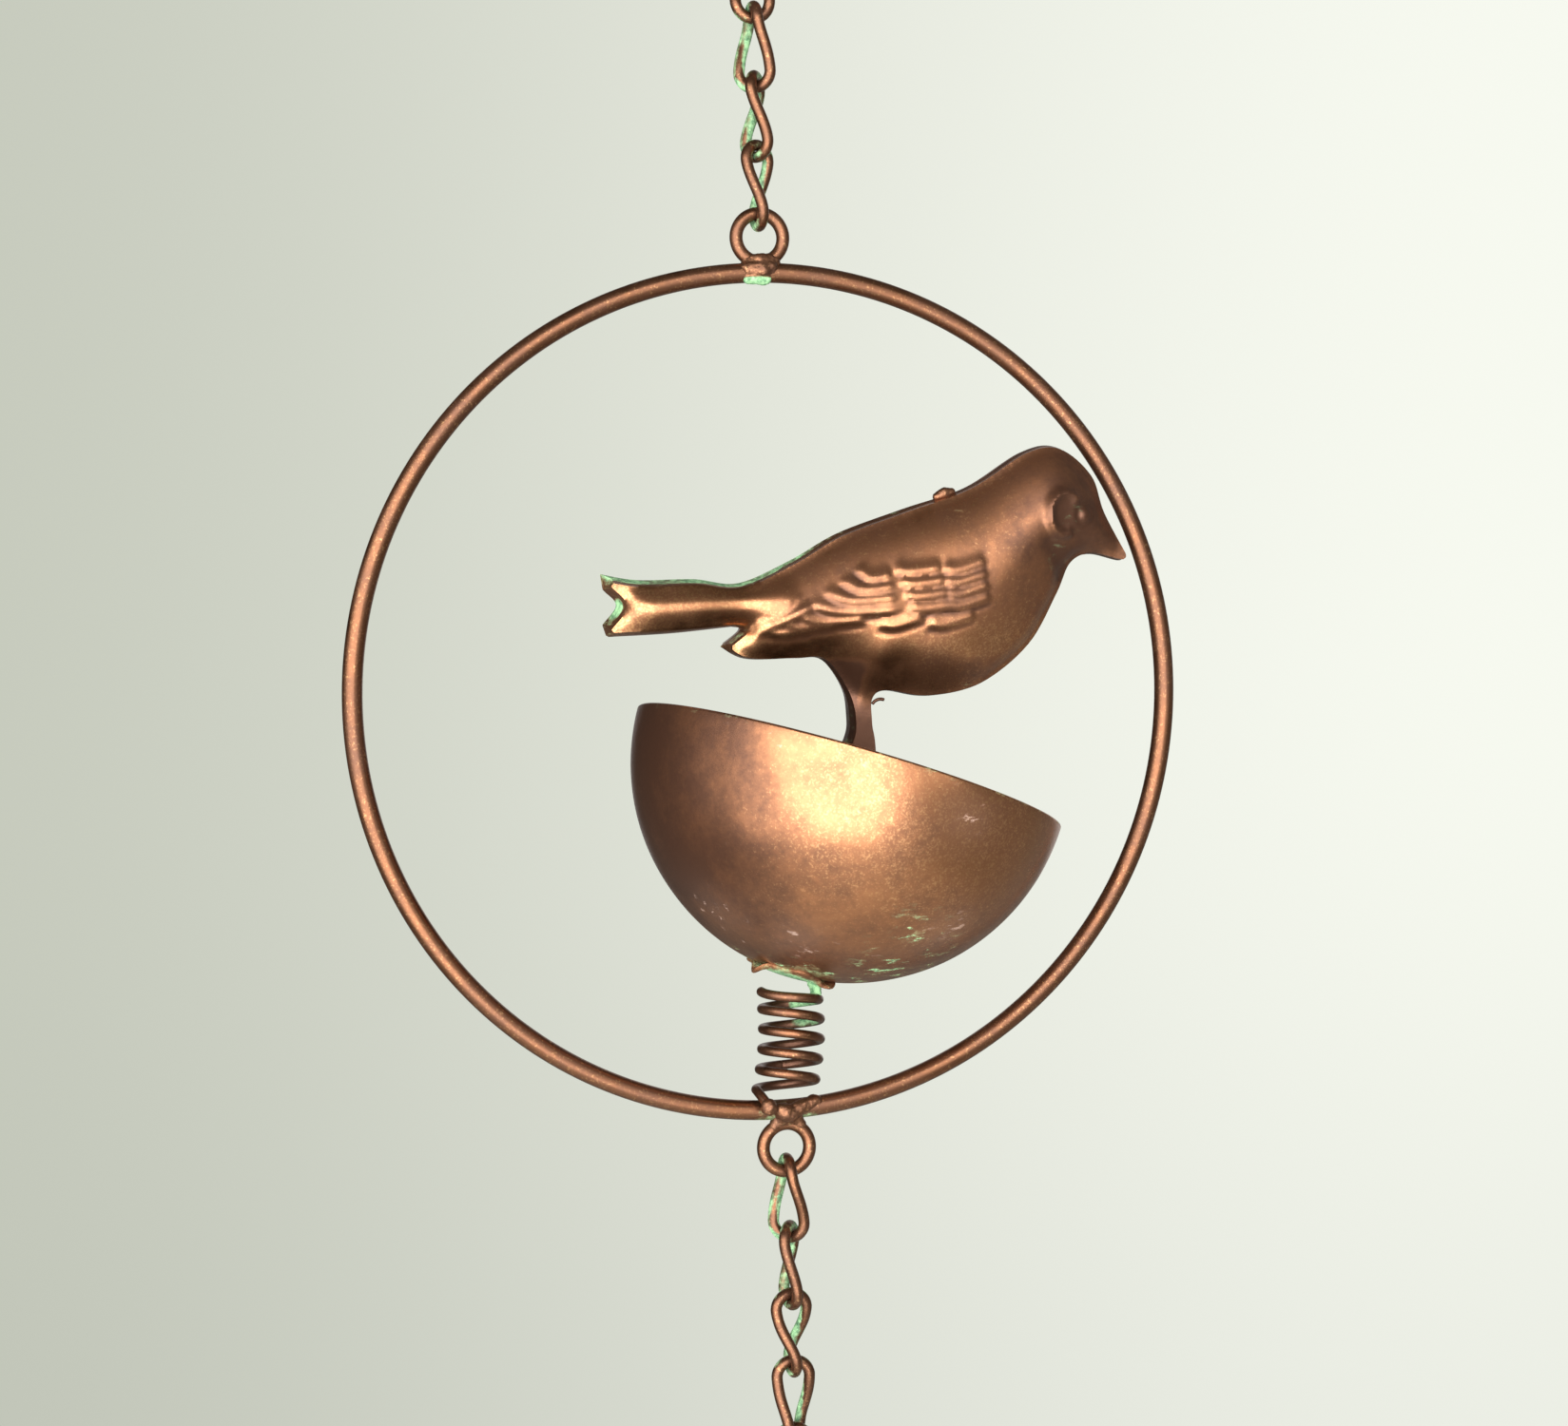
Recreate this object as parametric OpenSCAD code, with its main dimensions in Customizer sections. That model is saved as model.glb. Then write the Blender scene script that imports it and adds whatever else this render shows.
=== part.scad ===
// Hanging garden ornament: a copper bird stands in a cup that bobs on a spring
// inside a wire hoop, with a twisted-link chain above and below.
// Units are millimetres. +Z is up, -Y is the front, and the hoop lies in the XZ plane.
// The origin is the inside top of the hook, where it bears on its support.

/* [Hook] */
// Wire diameter of the S-hook
hook_wire = 2.5; // [1.8:0.1:3.2]
// Radius of the hook's bends, to the middle of the wire
hook_bend_r = 5.25; // [4.8:0.05:8]
// Height of the hook between the middles of its two bends' wire
hook_h = 28; // [24:0.5:45]

/* [Chain] */
// Wire diameter of the chain links
link_wire = 2; // [1.4:0.1:2.4]
// Length of a link, outside to outside
link_len = 16; // [14:0.5:24]
// Width of a link, outside to outside
link_w = 8; // [7:0.1:11]
// Gap left where one wire bears on another
seat_gap = 0.05; // [0.02:0.01:0.2]

/* [Hoop] */
// Outside diameter of the hoop
hoop_d = 150; // [140:1:200]
// Wire diameter of the hoop
hoop_wire = 3.5; // [2.5:0.1:5]
// Outside diameter of the two welded eyes
eye_d = 10.7; // [9:0.1:16]
// Wire diameter of the eyes
eye_wire = 2.3; // [1.6:0.1:3]
// Depth that the upper eye is sunk into the hoop
top_eye_sink = 1.05; // [0.3:0.05:1.5]
// Depth that the lower eye is sunk into the hoop
bottom_eye_sink = 0.35; // [0.2:0.05:1.5]

/* [Spring] */
// Wire diameter of the spring
spring_wire = 1.7; // [1.2:0.1:2]
// Outside diameter of the coil
spring_d = 11.9; // [10:0.1:16]
// Height of the coil from its lowest to its highest wire centre
spring_h = 17.7; // [15:0.1:30]
// Height of the lowest coil above the hoop's wire
spring_rise = 1.6; // [1.2:0.1:4]
// Sideways lean of the coil at its top
spring_lean = 1.3; // [0:0.1:3]
// Sideways bow of the coil at mid height
spring_bow = 0.8; // [0:0.1:2]

/* [Cup] */
// Outside radius of the cup's bowl
cup_r = 39; // [32.5:0.5:42]
// Drop of the cup's rim below the middle of its bowl
cup_rim_drop = 0.8; // [0.2:0.1:6]
// Wall of the cup
cup_wall = 0.9; // [0.6:0.1:2]
// Tilt of the cup to the right
cup_tilt = 19.3; // [0:0.1:22]
// Lean of the cup to the back
cup_lean = 3.7; // [0:0.1:8]
// Height of the cup's pole above the coil's top wire centre
cup_seat = 2.5; // [2.3:0.1:5]
// Thickness of the spring plate
plate_t = 0.8; // [0.5:0.1:1.2]
// Radius of the spring plate, to the tips of its petals
plate_r = 8.6; // [7:0.1:12]

/* [Bird] */
// Length of the bird from tail tip to beak tip
bird_len = 97.6; // [80:0.1:100]
// Depth of each half's straight wall at the seam
bird_edge = 3.2; // [2:0.1:5]
// Depth of each half at the middle of the body
bird_half_depth = 10; // [7:0.1:14]
// Sheet thickness of the stamped halves
bird_sheet = 0.8; // [0.5:0.1:1.2]
// Lean of the bird to the front
bird_lean = 4; // [0:0.5:8]
// Place of the stake's foot to the right of the hoop's centre
stake_x = 16.5; // [10:0.5:20]
// Place of the stake's foot behind the hoop's plane
stake_y = 5.6; // [3:0.1:8]

/* [Hidden] */

copper = "#9a6440";
dark_copper = "#7b4a32";
verdigris = "#6fb98a";
wire_fn = 32;
weld_fn = 14;
eps = 0.01;

// ---- heights, from the support downwards ----
hook_bottom = hook_wire / 2 - hook_h;
link_drop = link_len - link_wire;
link_seat = link_wire + seat_gap;
hook_seat = (hook_wire + link_wire) / 2 + seat_gap;
eye_seat = (eye_wire + link_wire) / 2 + seat_gap;
eye_r = (eye_d - eye_wire) / 2;
hoop_r = (hoop_d - hoop_wire) / 2;
// Height of the top wire of the upper links 1 to 4
function upper_link_z(n) = hook_bottom + hook_seat - (n - 1) * (link_drop - link_seat);
top_eye_z = upper_link_z(4) - link_drop + eye_seat - eye_r;
hoop_z = top_eye_z - eye_d / 2 + top_eye_sink - hoop_d / 2;
bottom_eye_z = hoop_z - hoop_d / 2 + bottom_eye_sink - eye_d / 2;
// Height of the top wire of the lower links 5 to 9
function lower_link_z(n) = bottom_eye_z - eye_r + eye_seat - (n - 5) * (link_drop - link_seat);

// ---- chain links ----
// Turn of each link's front leg at its top and its bottom, seen from above, 0 to the right
LINK_TURN = [[-90, 0], [-90, -37], [-120, -62], [-145, -88], [-90, -38],
    [-122, -80], [-170, -90], [-180, -122], [-212, -160]];
link_steps = 40;
link_sides = 8;

// ---- spring ----
spring_r = (spring_d - spring_wire) / 2;
spring_turns = 5;
turn_steps = 14;
foot_turns = 1.25;
middle_turns = 1.25;
spring_z = hoop_z - hoop_d / 2 + hoop_wire + spring_rise;
tail_end = [-3, -4, -2.4];
tail_steps = 8;
tail_out = 1.7;
tail_in = [-0.8, 1.4, 1.3];
tail_start = [0, -tail_out, -0.3];
stretch_gap = 0.001;

// ---- cup ----
cup_in_r = cup_r - cup_wall;
cup_depth = cup_r - cup_rim_drop;
pole_shift = 0.3;
pole = [spring_lean + pole_shift, pole_shift, spring_z + spring_h + cup_seat];
cup_axis = [sin(cup_tilt) * cos(cup_lean), sin(cup_lean), cos(cup_tilt) * cos(cup_lean)];
cup_centre = pole + cup_r * cup_axis;
petals = 6;
petal_r = 2.6;
plate_weld_turn = 0.42;
plate_weld_low_r = 0.6;
plate_weld_high = [-0.4, 0.7, 0.9];
plate_weld_high_r = 0.9;

// ---- bird ----
outline_len = 97.6;
bird_k = bird_len / outline_len;
stake_gap = 0.3;
foot_dx = stake_x - cup_centre[0];
foot_dy = stake_y - cup_centre[1];
foot_z = cup_centre[2] - sqrt(cup_in_r * cup_in_r - foot_dx * foot_dx - foot_dy * foot_dy);
foot = [stake_x, stake_y, foot_z];
curve_steps = 4;
field_step = 2;
// Left, bottom, width and height of the field of points that covers the outline
FIELD = [-49.13, -1.07, 100, 95];
bulge_reach = 18;
belly_z = 46;
feather_rows = 4;
feather_x = [-7, 6.5, 17];
feather_z = 71;
feather_pitch = 3.2;
feather_shift = -0.8;
feather_len = 8.5;
feather_rise = 0.8;
feather_r = 0.7;
// Middle of the stray whisker's bend beside the leg
WHISKER = [3.1, 47.4];
whisker_bend = 1.7;
whisker_depth = 0.6;
whisker_r = 0.3;
// Outline of the bird seen from its right side, from the foot of its stake.
// Each list is one smooth stretch, and the stretches meet at corners.
BACK = [[-47.8, 72], [-40, 71], [-30, 71.1], [-22, 70.2], [-12.5, 74], [-4, 78.5], [8, 82.5],
    [20, 86.2], [30.5, 92.3], [37, 92.9], [43, 88], [45.5, 81.3], [49.8, 73.6]];
BREAST = [[49.8, 73.6], [48.8, 72.4], [43, 73.7], [39, 72.2], [36.4, 66.8], [31, 57.8],
    [22, 51.1], [12, 49.2], [4.5, 50.4], [1.7, 49.2], [1.5, 45], [2.2, 38], [2.2, 10], [1.5, 0]];
STAKE = [[-1.5, 0], [-2, 10], [-2.4, 37]];
CLAW = [[-2.4, 37], [-4.4, 38.6], [-2.6, 41.8], [-2, 45], [-3, 50.5], [-7, 56.2], [-12, 56.7],
    [-21, 56.9], [-25.4, 59.2]];
NOTCH = [[-25.4, 59.2], [-21.8, 62], [-23.4, 62.6]];
TAIL = [[-23.4, 62.6], [-34, 61.8], [-45.2, 61.5]];
TAIL_END = [[-45.2, 61.5], [-46.6, 63], [-43.8, 66.8], [-45.5, 69.3], [-47.8, 72]];

// A point on a smooth curve through four neighbours
function spline(a, b, c, d, t) =
    0.5 * ((2 * b) + (c - a) * t + (2 * a - 5 * b + 4 * c - d) * t * t
        + (3 * b - a - 3 * c + d) * t * t * t);
function at(list, i) = list[min(max(i, 0), len(list) - 1)];
// A smooth run through a list of points, without its last point
function run(list) = [for (i = [0:len(list) - 2], s = [0:curve_steps - 1])
    spline(at(list, i - 1), list[i], list[i + 1], at(list, i + 2), s / curve_steps)];
BIRD = bird_k * concat(run(BACK), run(BREAST), STAKE, run(CLAW), run(NOTCH), run(TAIL),
    run(TAIL_END));

function segment_gap(p, a, b) =
    let (ab = b - a, t = min(max(((p - a) * ab) / max(ab * ab, eps), 0), 1)) norm(p - a - t * ab);
function edge_gap(p) =
    min([for (i = [0:len(BIRD) - 1]) segment_gap(p, BIRD[i], BIRD[(i + 1) % len(BIRD)])]);
// Height of a half's face above its wall at a gap g from the outline
function bulge(g) =
    let (t = min(g / (bulge_reach * bird_k), 1)) (bird_half_depth - bird_edge) * t * (2 - t);

// ---- sweeping a round wire along a path ----
function unit(v) = v / max(norm(v), eps / 1000);
function ring(p, t, ref, r, n) =
    let (u = unit(ref - (ref * t) * t), v = cross(t, u))
    [for (k = [0:n - 1]) p + r * (cos(360 * k / n) * u + sin(360 * k / n) * v)];

// Direction of a path at each of its points
function headings(points) =
    [for (i = [0:len(points) - 1]) at(points, i + 1) - at(points, i - 1)];

// Wire with flat ends along points, its rings square to dirs and turned from ref
module wire(points, dirs, r, ref, n = 8) {
    last = len(points) - 1;
    rings = [for (i = [0:last]) ring(points[i], unit(dirs[i]), ref, r, n)];
    faces = concat(
        [[for (k = [0:n - 1]) k]],
        [for (i = [0:last - 1], k = [0:n - 1])
            [i * n + k, (i + 1) * n + k, (i + 1) * n + (k + 1) % n, i * n + (k + 1) % n]],
        [[for (k = [n - 1:-1:0]) last * n + k]]);
    polyhedron([for (one = rings, p = one) p], faces, convexity = 6);
}

// Wire closed on itself, its rings turned from the path's own centre
module closed_wire(points, r, n) {
    count = len(points);
    rings = [for (i = [0:count - 1])
        ring(points[i], unit(points[(i + 1) % count] - points[(i + count - 1) % count]),
            points[i], r, n)];
    faces = [for (i = [0:count - 1], k = [0:n - 1])
        let (j = (i + 1) % count, m = (k + 1) % n) [i * n + k, j * n + k, j * n + m, i * n + m]];
    polyhedron([for (one = rings, p = one) p], faces, convexity = 8);
}

module torus(ring_r, wire_r, sweep = 360) {
    rotate_extrude(angle = sweep, $fn = 96) translate([ring_r, 0]) circle(r = wire_r, $fn = wire_fn);
}

// Bead of weld run over a list of [x, y, z, radius] blobs
module bead(blobs) {
    hull() for (b = blobs) translate([b[0], b[1], b[2]]) sphere(r = b[3], $fn = weld_fn);
}

// ---- hook ----
module top_hook() {
    arcs_gap = hook_h - 2 * hook_bend_r;
    slope = asin(2 * hook_bend_r / arcs_gap);
    shank = sqrt(arcs_gap * arcs_gap - 4 * hook_bend_r * hook_bend_r);
    mouth = 200;
    for (end = [0, 1]) {
        color(copper) translate([0, 0, (hook_wire + (end == 0 ? 0 : -2 * hook_h)) / 2])
            rotate([90, end * 180, 0]) translate([0, -hook_bend_r, 0]) rotate([0, 0, -slope]) {
                torus(hook_bend_r, hook_wire / 2, mouth + slope);
                rotate([0, 0, mouth + slope]) translate([hook_bend_r, 0, 0])
                    sphere(r = hook_wire / 2, $fn = wire_fn);
            }
    }
    color(copper) translate([0, 0, (hook_wire - hook_h) / 2]) rotate([0, slope, 0])
        cylinder(d = hook_wire, h = shank, center = true, $fn = wire_fn);
}

// ---- chain ----
// Distance along half of the oval: half a round end, a straight leg, half a round end
link_r = (link_w - link_wire) / 2;
link_leg = link_drop - 2 * link_r;
function smooth(t) = t * t * (3 - 2 * t);
// Point of a flat oval at a share s of the way round, from the middle of the right leg
function oval(s) =
    let (arc = PI * link_r, total = 2 * arc + 2 * link_leg, d = s * total)
    d < link_leg / 2 ? [link_r, d] :
    d < link_leg / 2 + arc ? let (a = 180 * (d - link_leg / 2) / arc)
        [link_r * cos(a), link_leg / 2 + link_r * sin(a)] :
    d < 1.5 * link_leg + arc ? [-link_r, link_leg + arc - d] :
    d < 1.5 * link_leg + 2 * arc ? let (a = 180 + 180 * (d - 1.5 * link_leg - arc) / arc)
        [link_r * cos(a), link_r * sin(a) - link_leg / 2] : [link_r, d - total];
// The oval's point turned about the link's length, from top_turn at the top to low_turn below
function link_point(s, top_turn, low_turn) =
    let (p = oval(s), t = min(max(0.5 - p[1] / (link_drop - link_r), 0), 1),
        a = top_turn + (low_turn - top_turn) * smooth(t))
    [p[0] * cos(a), p[0] * sin(a), p[1]];

module chain_link(n) {
    top_z = n < 5 ? upper_link_z(n) : lower_link_z(n);
    turn = LINK_TURN[n - 1];
    color(copper) translate([0, 0, top_z - link_drop / 2])
        closed_wire([for (i = [0:link_steps - 1]) link_point(i / link_steps, turn[0], turn[1])],
            link_wire / 2, link_sides);
}

// ---- hoop and eyes ----
module hoop() {
    color(copper) translate([0, 0, hoop_z]) rotate([90, 0, 0]) torus(hoop_r, hoop_wire / 2);
}

module eye(z) {
    color(copper) translate([0, 0, z]) rotate([90, 0, 0]) torus(eye_r, eye_wire / 2);
}

module top_weld() {
    z = hoop_z + hoop_r;
    half = 3;
    for (side = [-1, 1]) {
        color(dark_copper) bead([[0, -0.4, z + 1.6, 1.5], [side * half, 0, z + 0.6, 1.3]]);
    }
    color(verdigris) bead([[-1, 0, z - 1.5, 0.8], [1.5, -0.2, z - 1.5, 0.8]]);
}

module bottom_weld() {
    z = hoop_z - hoop_r;
    color(dark_copper) bead([[-2.2, -1.9, z + 0.4, 1.5], [0.2, -1.5, z - 0.4, 1.6]]);
    color(dark_copper) bead([[0.2, -1.5, z - 0.2, 1.5], [4.6, -0.9, z + 0.9, 1.5]]);
    color(dark_copper) bead([[-1, -0.6, z - 1.4, 1.5], [1.6, -0.6, z - 1.3, 1.4]]);
}

// ---- spring ----
// Point on the coil, t turns down from its top, with the coil's start on the left
function coil(t) =
    let (up = 1 - t / spring_turns, a = 180 + 360 * t)
    [spring_r * cos(a) + spring_lean * up + spring_bow * sin(180 * up), spring_r * sin(a),
        spring_z + spring_h * up];
function coil_dir(t) = coil(t + eps) - coil(t - eps);
// Turns at which a stretch of the coil has its points
function turns(from, to) =
    let (steps = ceil((to - from) * turn_steps)) [for (i = [0:steps]) from + (to - from) * i / steps];
// The tail leaves the lowest coil, comes forward over the hoop and ends in front of it
function tail_point(t) =
    let (a = coil(spring_turns), b = a + tail_start, d = [0, a[1], a[2]] + tail_end, c = d + tail_in)
    pow(1 - t, 3) * a + 3 * t * pow(1 - t, 2) * b + 3 * t * t * (1 - t) * c + t * t * t * d;
upper_turns = spring_turns - foot_turns - middle_turns;

// Stretch of the coil between two turns, with more points after it
module stretch(from, to, more = []) {
    list = turns(from, to);
    color(copper) wire(concat([for (t = list) coil(t)], more),
        concat([for (t = list) coil_dir(t)], headings(more)), spring_wire / 2, [0, 0, 1]);
}

module spring_top() {
    stretch(0, upper_turns);
}

module spring_middle() {
    stretch(upper_turns + stretch_gap, upper_turns + middle_turns);
}

module spring_foot() {
    stretch(upper_turns + middle_turns + stretch_gap, spring_turns,
        [for (i = [1:tail_steps]) tail_point(i / tail_steps)]);
}

// ---- cup, drawn from its pole up ----
module in_cup() {
    translate(pole) rotate([-cup_lean, cup_tilt, 0]) children();
}

module cup() {
    color(copper) in_cup() intersection() {
        translate([0, 0, cup_r]) difference() {
            sphere(r = cup_r, $fn = 128);
            sphere(r = cup_in_r, $fn = 128);
        }
        translate([0, 0, -eps]) cylinder(r = cup_r + 1, h = cup_depth + eps, $fn = 128);
    }
}

// A dished washer with petals, that follows the bottom of the cup
module spring_plate() {
    color(verdigris) in_cup() intersection() {
        translate([0, 0, cup_r]) difference() {
            sphere(r = cup_r + plate_t, $fn = 128);
            sphere(r = cup_r, $fn = 128);
        }
        translate([0, 0, -2 * plate_t]) linear_extrude(4 * plate_t) union() {
            circle(r = plate_r - petal_r / 2, $fn = 64);
            for (i = [0:petals - 1]) {
                rotate(360 * (i + 0.5) / petals) translate([plate_r - petal_r, 0])
                    circle(r = petal_r, $fn = 32);
            }
        }
    }
}

// Stands on the top coil with a hair's gap, because the coil moves against it
module plate_weld() {
    low_r = plate_weld_low_r;
    low = coil(plate_weld_turn) + [0, 0, spring_wire / 2 + low_r + seat_gap];
    color(verdigris) bead([concat(low, low_r), concat(low + plate_weld_high, plate_weld_high_r)]);
}

// ---- bird, drawn flat with its stake's foot at the origin and its face up ----
module bird_shape(inset) {
    offset(delta = -inset) polygon(BIRD);
}

// Solid under the bulged face, lowered by drop
module bulged_field(drop) {
    cells_x = ceil(FIELD[2] * bird_k / field_step);
    cells_z = ceil(FIELD[3] * bird_k / field_step);
    low = [FIELD[0] * bird_k, FIELD[1]];
    tops = [for (j = [0:cells_z], i = [0:cells_x])
        let (p = low + field_step * [i, j], high = p[1] > belly_z * bird_k)
        [p[0], p[1], bird_edge - drop + (high ? bulge(edge_gap(p)) : 0)]];
    lows = [for (t = tops) [t[0], t[1], -1]];
    row = cells_x + 1;
    count = len(tops);
    rim = concat([for (i = [0:cells_x - 1]) i], [for (j = [0:cells_z - 1]) j * row + cells_x],
        [for (i = [cells_x:-1:1]) cells_z * row + i], [for (j = [cells_z:-1:1]) j * row]);
    faces = concat(
        [for (j = [0:cells_z - 1], i = [0:cells_x - 1]) each
            let (a = j * row + i, b = a + 1, c = a + row, d = c + 1) [[a, d, b], [a, c, d]]],
        [for (k = [0:len(rim) - 1])
            let (a = rim[k], b = rim[(k + 1) % len(rim)]) [a, b, count + b, count + a]],
        [[for (k = [0:len(rim) - 1]) count + rim[k]]]);
    polyhedron(concat(tops, lows), faces, convexity = 10);
}

// Point on a half's face
function on_face(x, z) = [x, z, bird_edge + bulge(edge_gap([x, z]))];

// Overlapping rows of wing feathers, each one a low rounded ridge
module feathers() {
    for (row = [0:feather_rows - 1], group = [0:2]) {
        x = feather_x[group] + row * feather_shift;
        z = feather_z - row * feather_pitch;
        hull() {
            translate(on_face(x, z)) sphere(r = feather_r, $fn = 8);
            translate(on_face(x + feather_len, z + feather_rise)) sphere(r = feather_r, $fn = 8);
        }
    }
}

module bird_half() {
    difference() {
        union() {
            intersection() {
                linear_extrude(2 * bird_half_depth) bird_shape(0);
                bulged_field(0);
            }
            scale(bird_k) feathers();
        }
        translate([0, 0, -eps]) intersection() {
            linear_extrude(2 * bird_half_depth) bird_shape(bird_sheet);
            bulged_field(bird_sheet);
        }
    }
}

module in_bird() {
    translate(foot) rotate([90 + bird_lean, 0, 0]) translate([0, stake_gap, 0]) children();
}

module bird_right_half() {
    color(copper) in_bird() bird_half();
}

module bird_left_half() {
    color(copper) in_bird() mirror([0, 0, 1]) bird_half();
}

module back_tack() {
    color(dark_copper) in_bird() bead([[14.6 * bird_k, 84.6 * bird_k, 0.2, 1.1],
        [16.6 * bird_k, 85.3 * bird_k, 0.2, 1.2]]);
}

module weld_whisker() {
    points = [for (a = [150:-20:30])
        concat(bird_k * (WHISKER + whisker_bend * [cos(a), sin(a)]), bird_edge * whisker_depth)];
    color(dark_copper) in_bird()
        wire(points, headings(points), whisker_r, [0, 0, 1], 6);
}

module foot_weld() {
    color(dark_copper) translate(foot) bead([[-1.4, 0, 0.9, 1.6], [1.4, 0, 0.9, 1.6],
        [0, -3, 0.9, 1.3], [0, 3, 1, 1.3]]);
}

top_hook();
chain_link(1);  // chain_link_1
chain_link(2);  // chain_link_2
chain_link(3);  // chain_link_3
chain_link(4);  // chain_link_4
eye(top_eye_z);  // top_eye
top_weld();
hoop();
eye(bottom_eye_z);  // bottom_eye
bottom_weld();
spring_foot();
spring_middle();
spring_top();
spring_plate();
plate_weld();
cup();
bird_right_half();
bird_left_half();
back_tack();
weld_whisker();
foot_weld();
chain_link(5);  // chain_link_5
chain_link(6);  // chain_link_6
chain_link(7);  // chain_link_7
chain_link(8);  // chain_link_8
chain_link(9);  // chain_link_9
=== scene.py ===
"""Looks of a hanging copper bird ornament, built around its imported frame.

The frame's axes hold here too: metres, +Z up, the hoop in the XZ plane with its front
towards -Y, and the origin at the inside top of the hook. Sizes that belong to the object
are written in millimetres and multiplied by MM where a mesh is made.
"""

import logging
import math
from dataclasses import dataclass
from enum import Enum
from typing import Callable, Sequence

import bmesh
import bpy
import numpy as np
from mathutils import Matrix, Vector, noise


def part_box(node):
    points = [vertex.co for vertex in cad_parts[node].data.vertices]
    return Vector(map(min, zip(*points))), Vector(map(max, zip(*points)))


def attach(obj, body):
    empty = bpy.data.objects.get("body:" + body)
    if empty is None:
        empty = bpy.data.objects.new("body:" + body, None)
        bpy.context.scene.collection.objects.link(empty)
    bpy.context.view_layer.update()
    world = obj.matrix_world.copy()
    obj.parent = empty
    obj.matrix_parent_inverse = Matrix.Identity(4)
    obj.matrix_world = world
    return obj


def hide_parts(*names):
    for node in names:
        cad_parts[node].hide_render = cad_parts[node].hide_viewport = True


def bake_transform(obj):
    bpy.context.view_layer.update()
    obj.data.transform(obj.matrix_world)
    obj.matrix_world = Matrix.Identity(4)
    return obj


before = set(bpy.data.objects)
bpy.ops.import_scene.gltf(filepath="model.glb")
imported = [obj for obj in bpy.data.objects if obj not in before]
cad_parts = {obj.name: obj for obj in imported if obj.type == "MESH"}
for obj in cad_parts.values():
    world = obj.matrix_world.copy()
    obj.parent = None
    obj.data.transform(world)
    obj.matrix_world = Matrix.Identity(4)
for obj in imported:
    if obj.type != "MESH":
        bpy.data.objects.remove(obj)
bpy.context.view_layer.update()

LOG = logging.getLogger("bird_ornament")
MM = 0.001
FULL_TURN = 2 * math.pi
PATINA = "patina"
SHADE = "shade"
SCUFF = "scuff"
CREASE = math.radians(42)
BEAD_STEP = 0.5


def mix(low: float, high: float, share: float) -> float:
    """Value at a share of the way from low to high."""
    return low + (high - low) * share


def smoothstep(low: float, high: float, value: float) -> float:
    """Smooth 0 to 1 ramp between low and high."""
    t = min(max((value - low) / (high - low), 0.0), 1.0)
    return t * t * (3 - 2 * t)


def smooth_ramp(low: float, high: float, values: np.ndarray) -> np.ndarray:
    """Smooth 0 to 1 ramp between low and high, over an array."""
    t = np.clip((values - low) / (high - low), 0.0, 1.0)
    return t * t * (3 - 2 * t)


def add_object(name: str, data: bpy.types.ID) -> bpy.types.Object:
    """Puts a new object that holds this data in the scene."""
    made = bpy.data.objects.new(name, data)
    bpy.context.scene.collection.objects.link(made)
    return made


# ---------------------------------------------------------------- shader tools


class Term:
    """A number or colour travelling through a shader, with the usual operators."""

    def __init__(self, shader: "Shader", socket: bpy.types.NodeSocket) -> None:
        """Wraps one output socket of a shader's node."""
        self.shader = shader
        self.socket = socket

    def _math(self, operation: str, *values: object) -> "Term":
        """Adds a Math node with this operation and these values."""
        inputs = {index: value for index, value in enumerate(values)}
        return self.shader.node("ShaderNodeMath", {"operation": operation}, inputs)

    def __add__(self, other: object) -> "Term":
        """Sum."""
        return self._math("ADD", self, other)

    def __radd__(self, other: object) -> "Term":
        """Sum, reflected."""
        return self._math("ADD", other, self)

    def __sub__(self, other: object) -> "Term":
        """Difference."""
        return self._math("SUBTRACT", self, other)

    def __rsub__(self, other: object) -> "Term":
        """Difference, reflected."""
        return self._math("SUBTRACT", other, self)

    def __mul__(self, other: object) -> "Term":
        """Product."""
        return self._math("MULTIPLY", self, other)

    def __rmul__(self, other: object) -> "Term":
        """Product, reflected."""
        return self._math("MULTIPLY", other, self)

    def ramp(self, low: float, high: float) -> "Term":
        """Smooth 0 to 1 ramp between low and high."""
        inputs = {"Value": self, "From Min": low, "From Max": high}
        settings = {"interpolation_type": "SMOOTHSTEP"}
        return self.shader.node("ShaderNodeMapRange", settings, inputs)

    def limited(self) -> "Term":
        """The value held between 0 and 1."""
        return self._math("MINIMUM", self._math("MAXIMUM", self, 0.0), 1.0)


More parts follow.
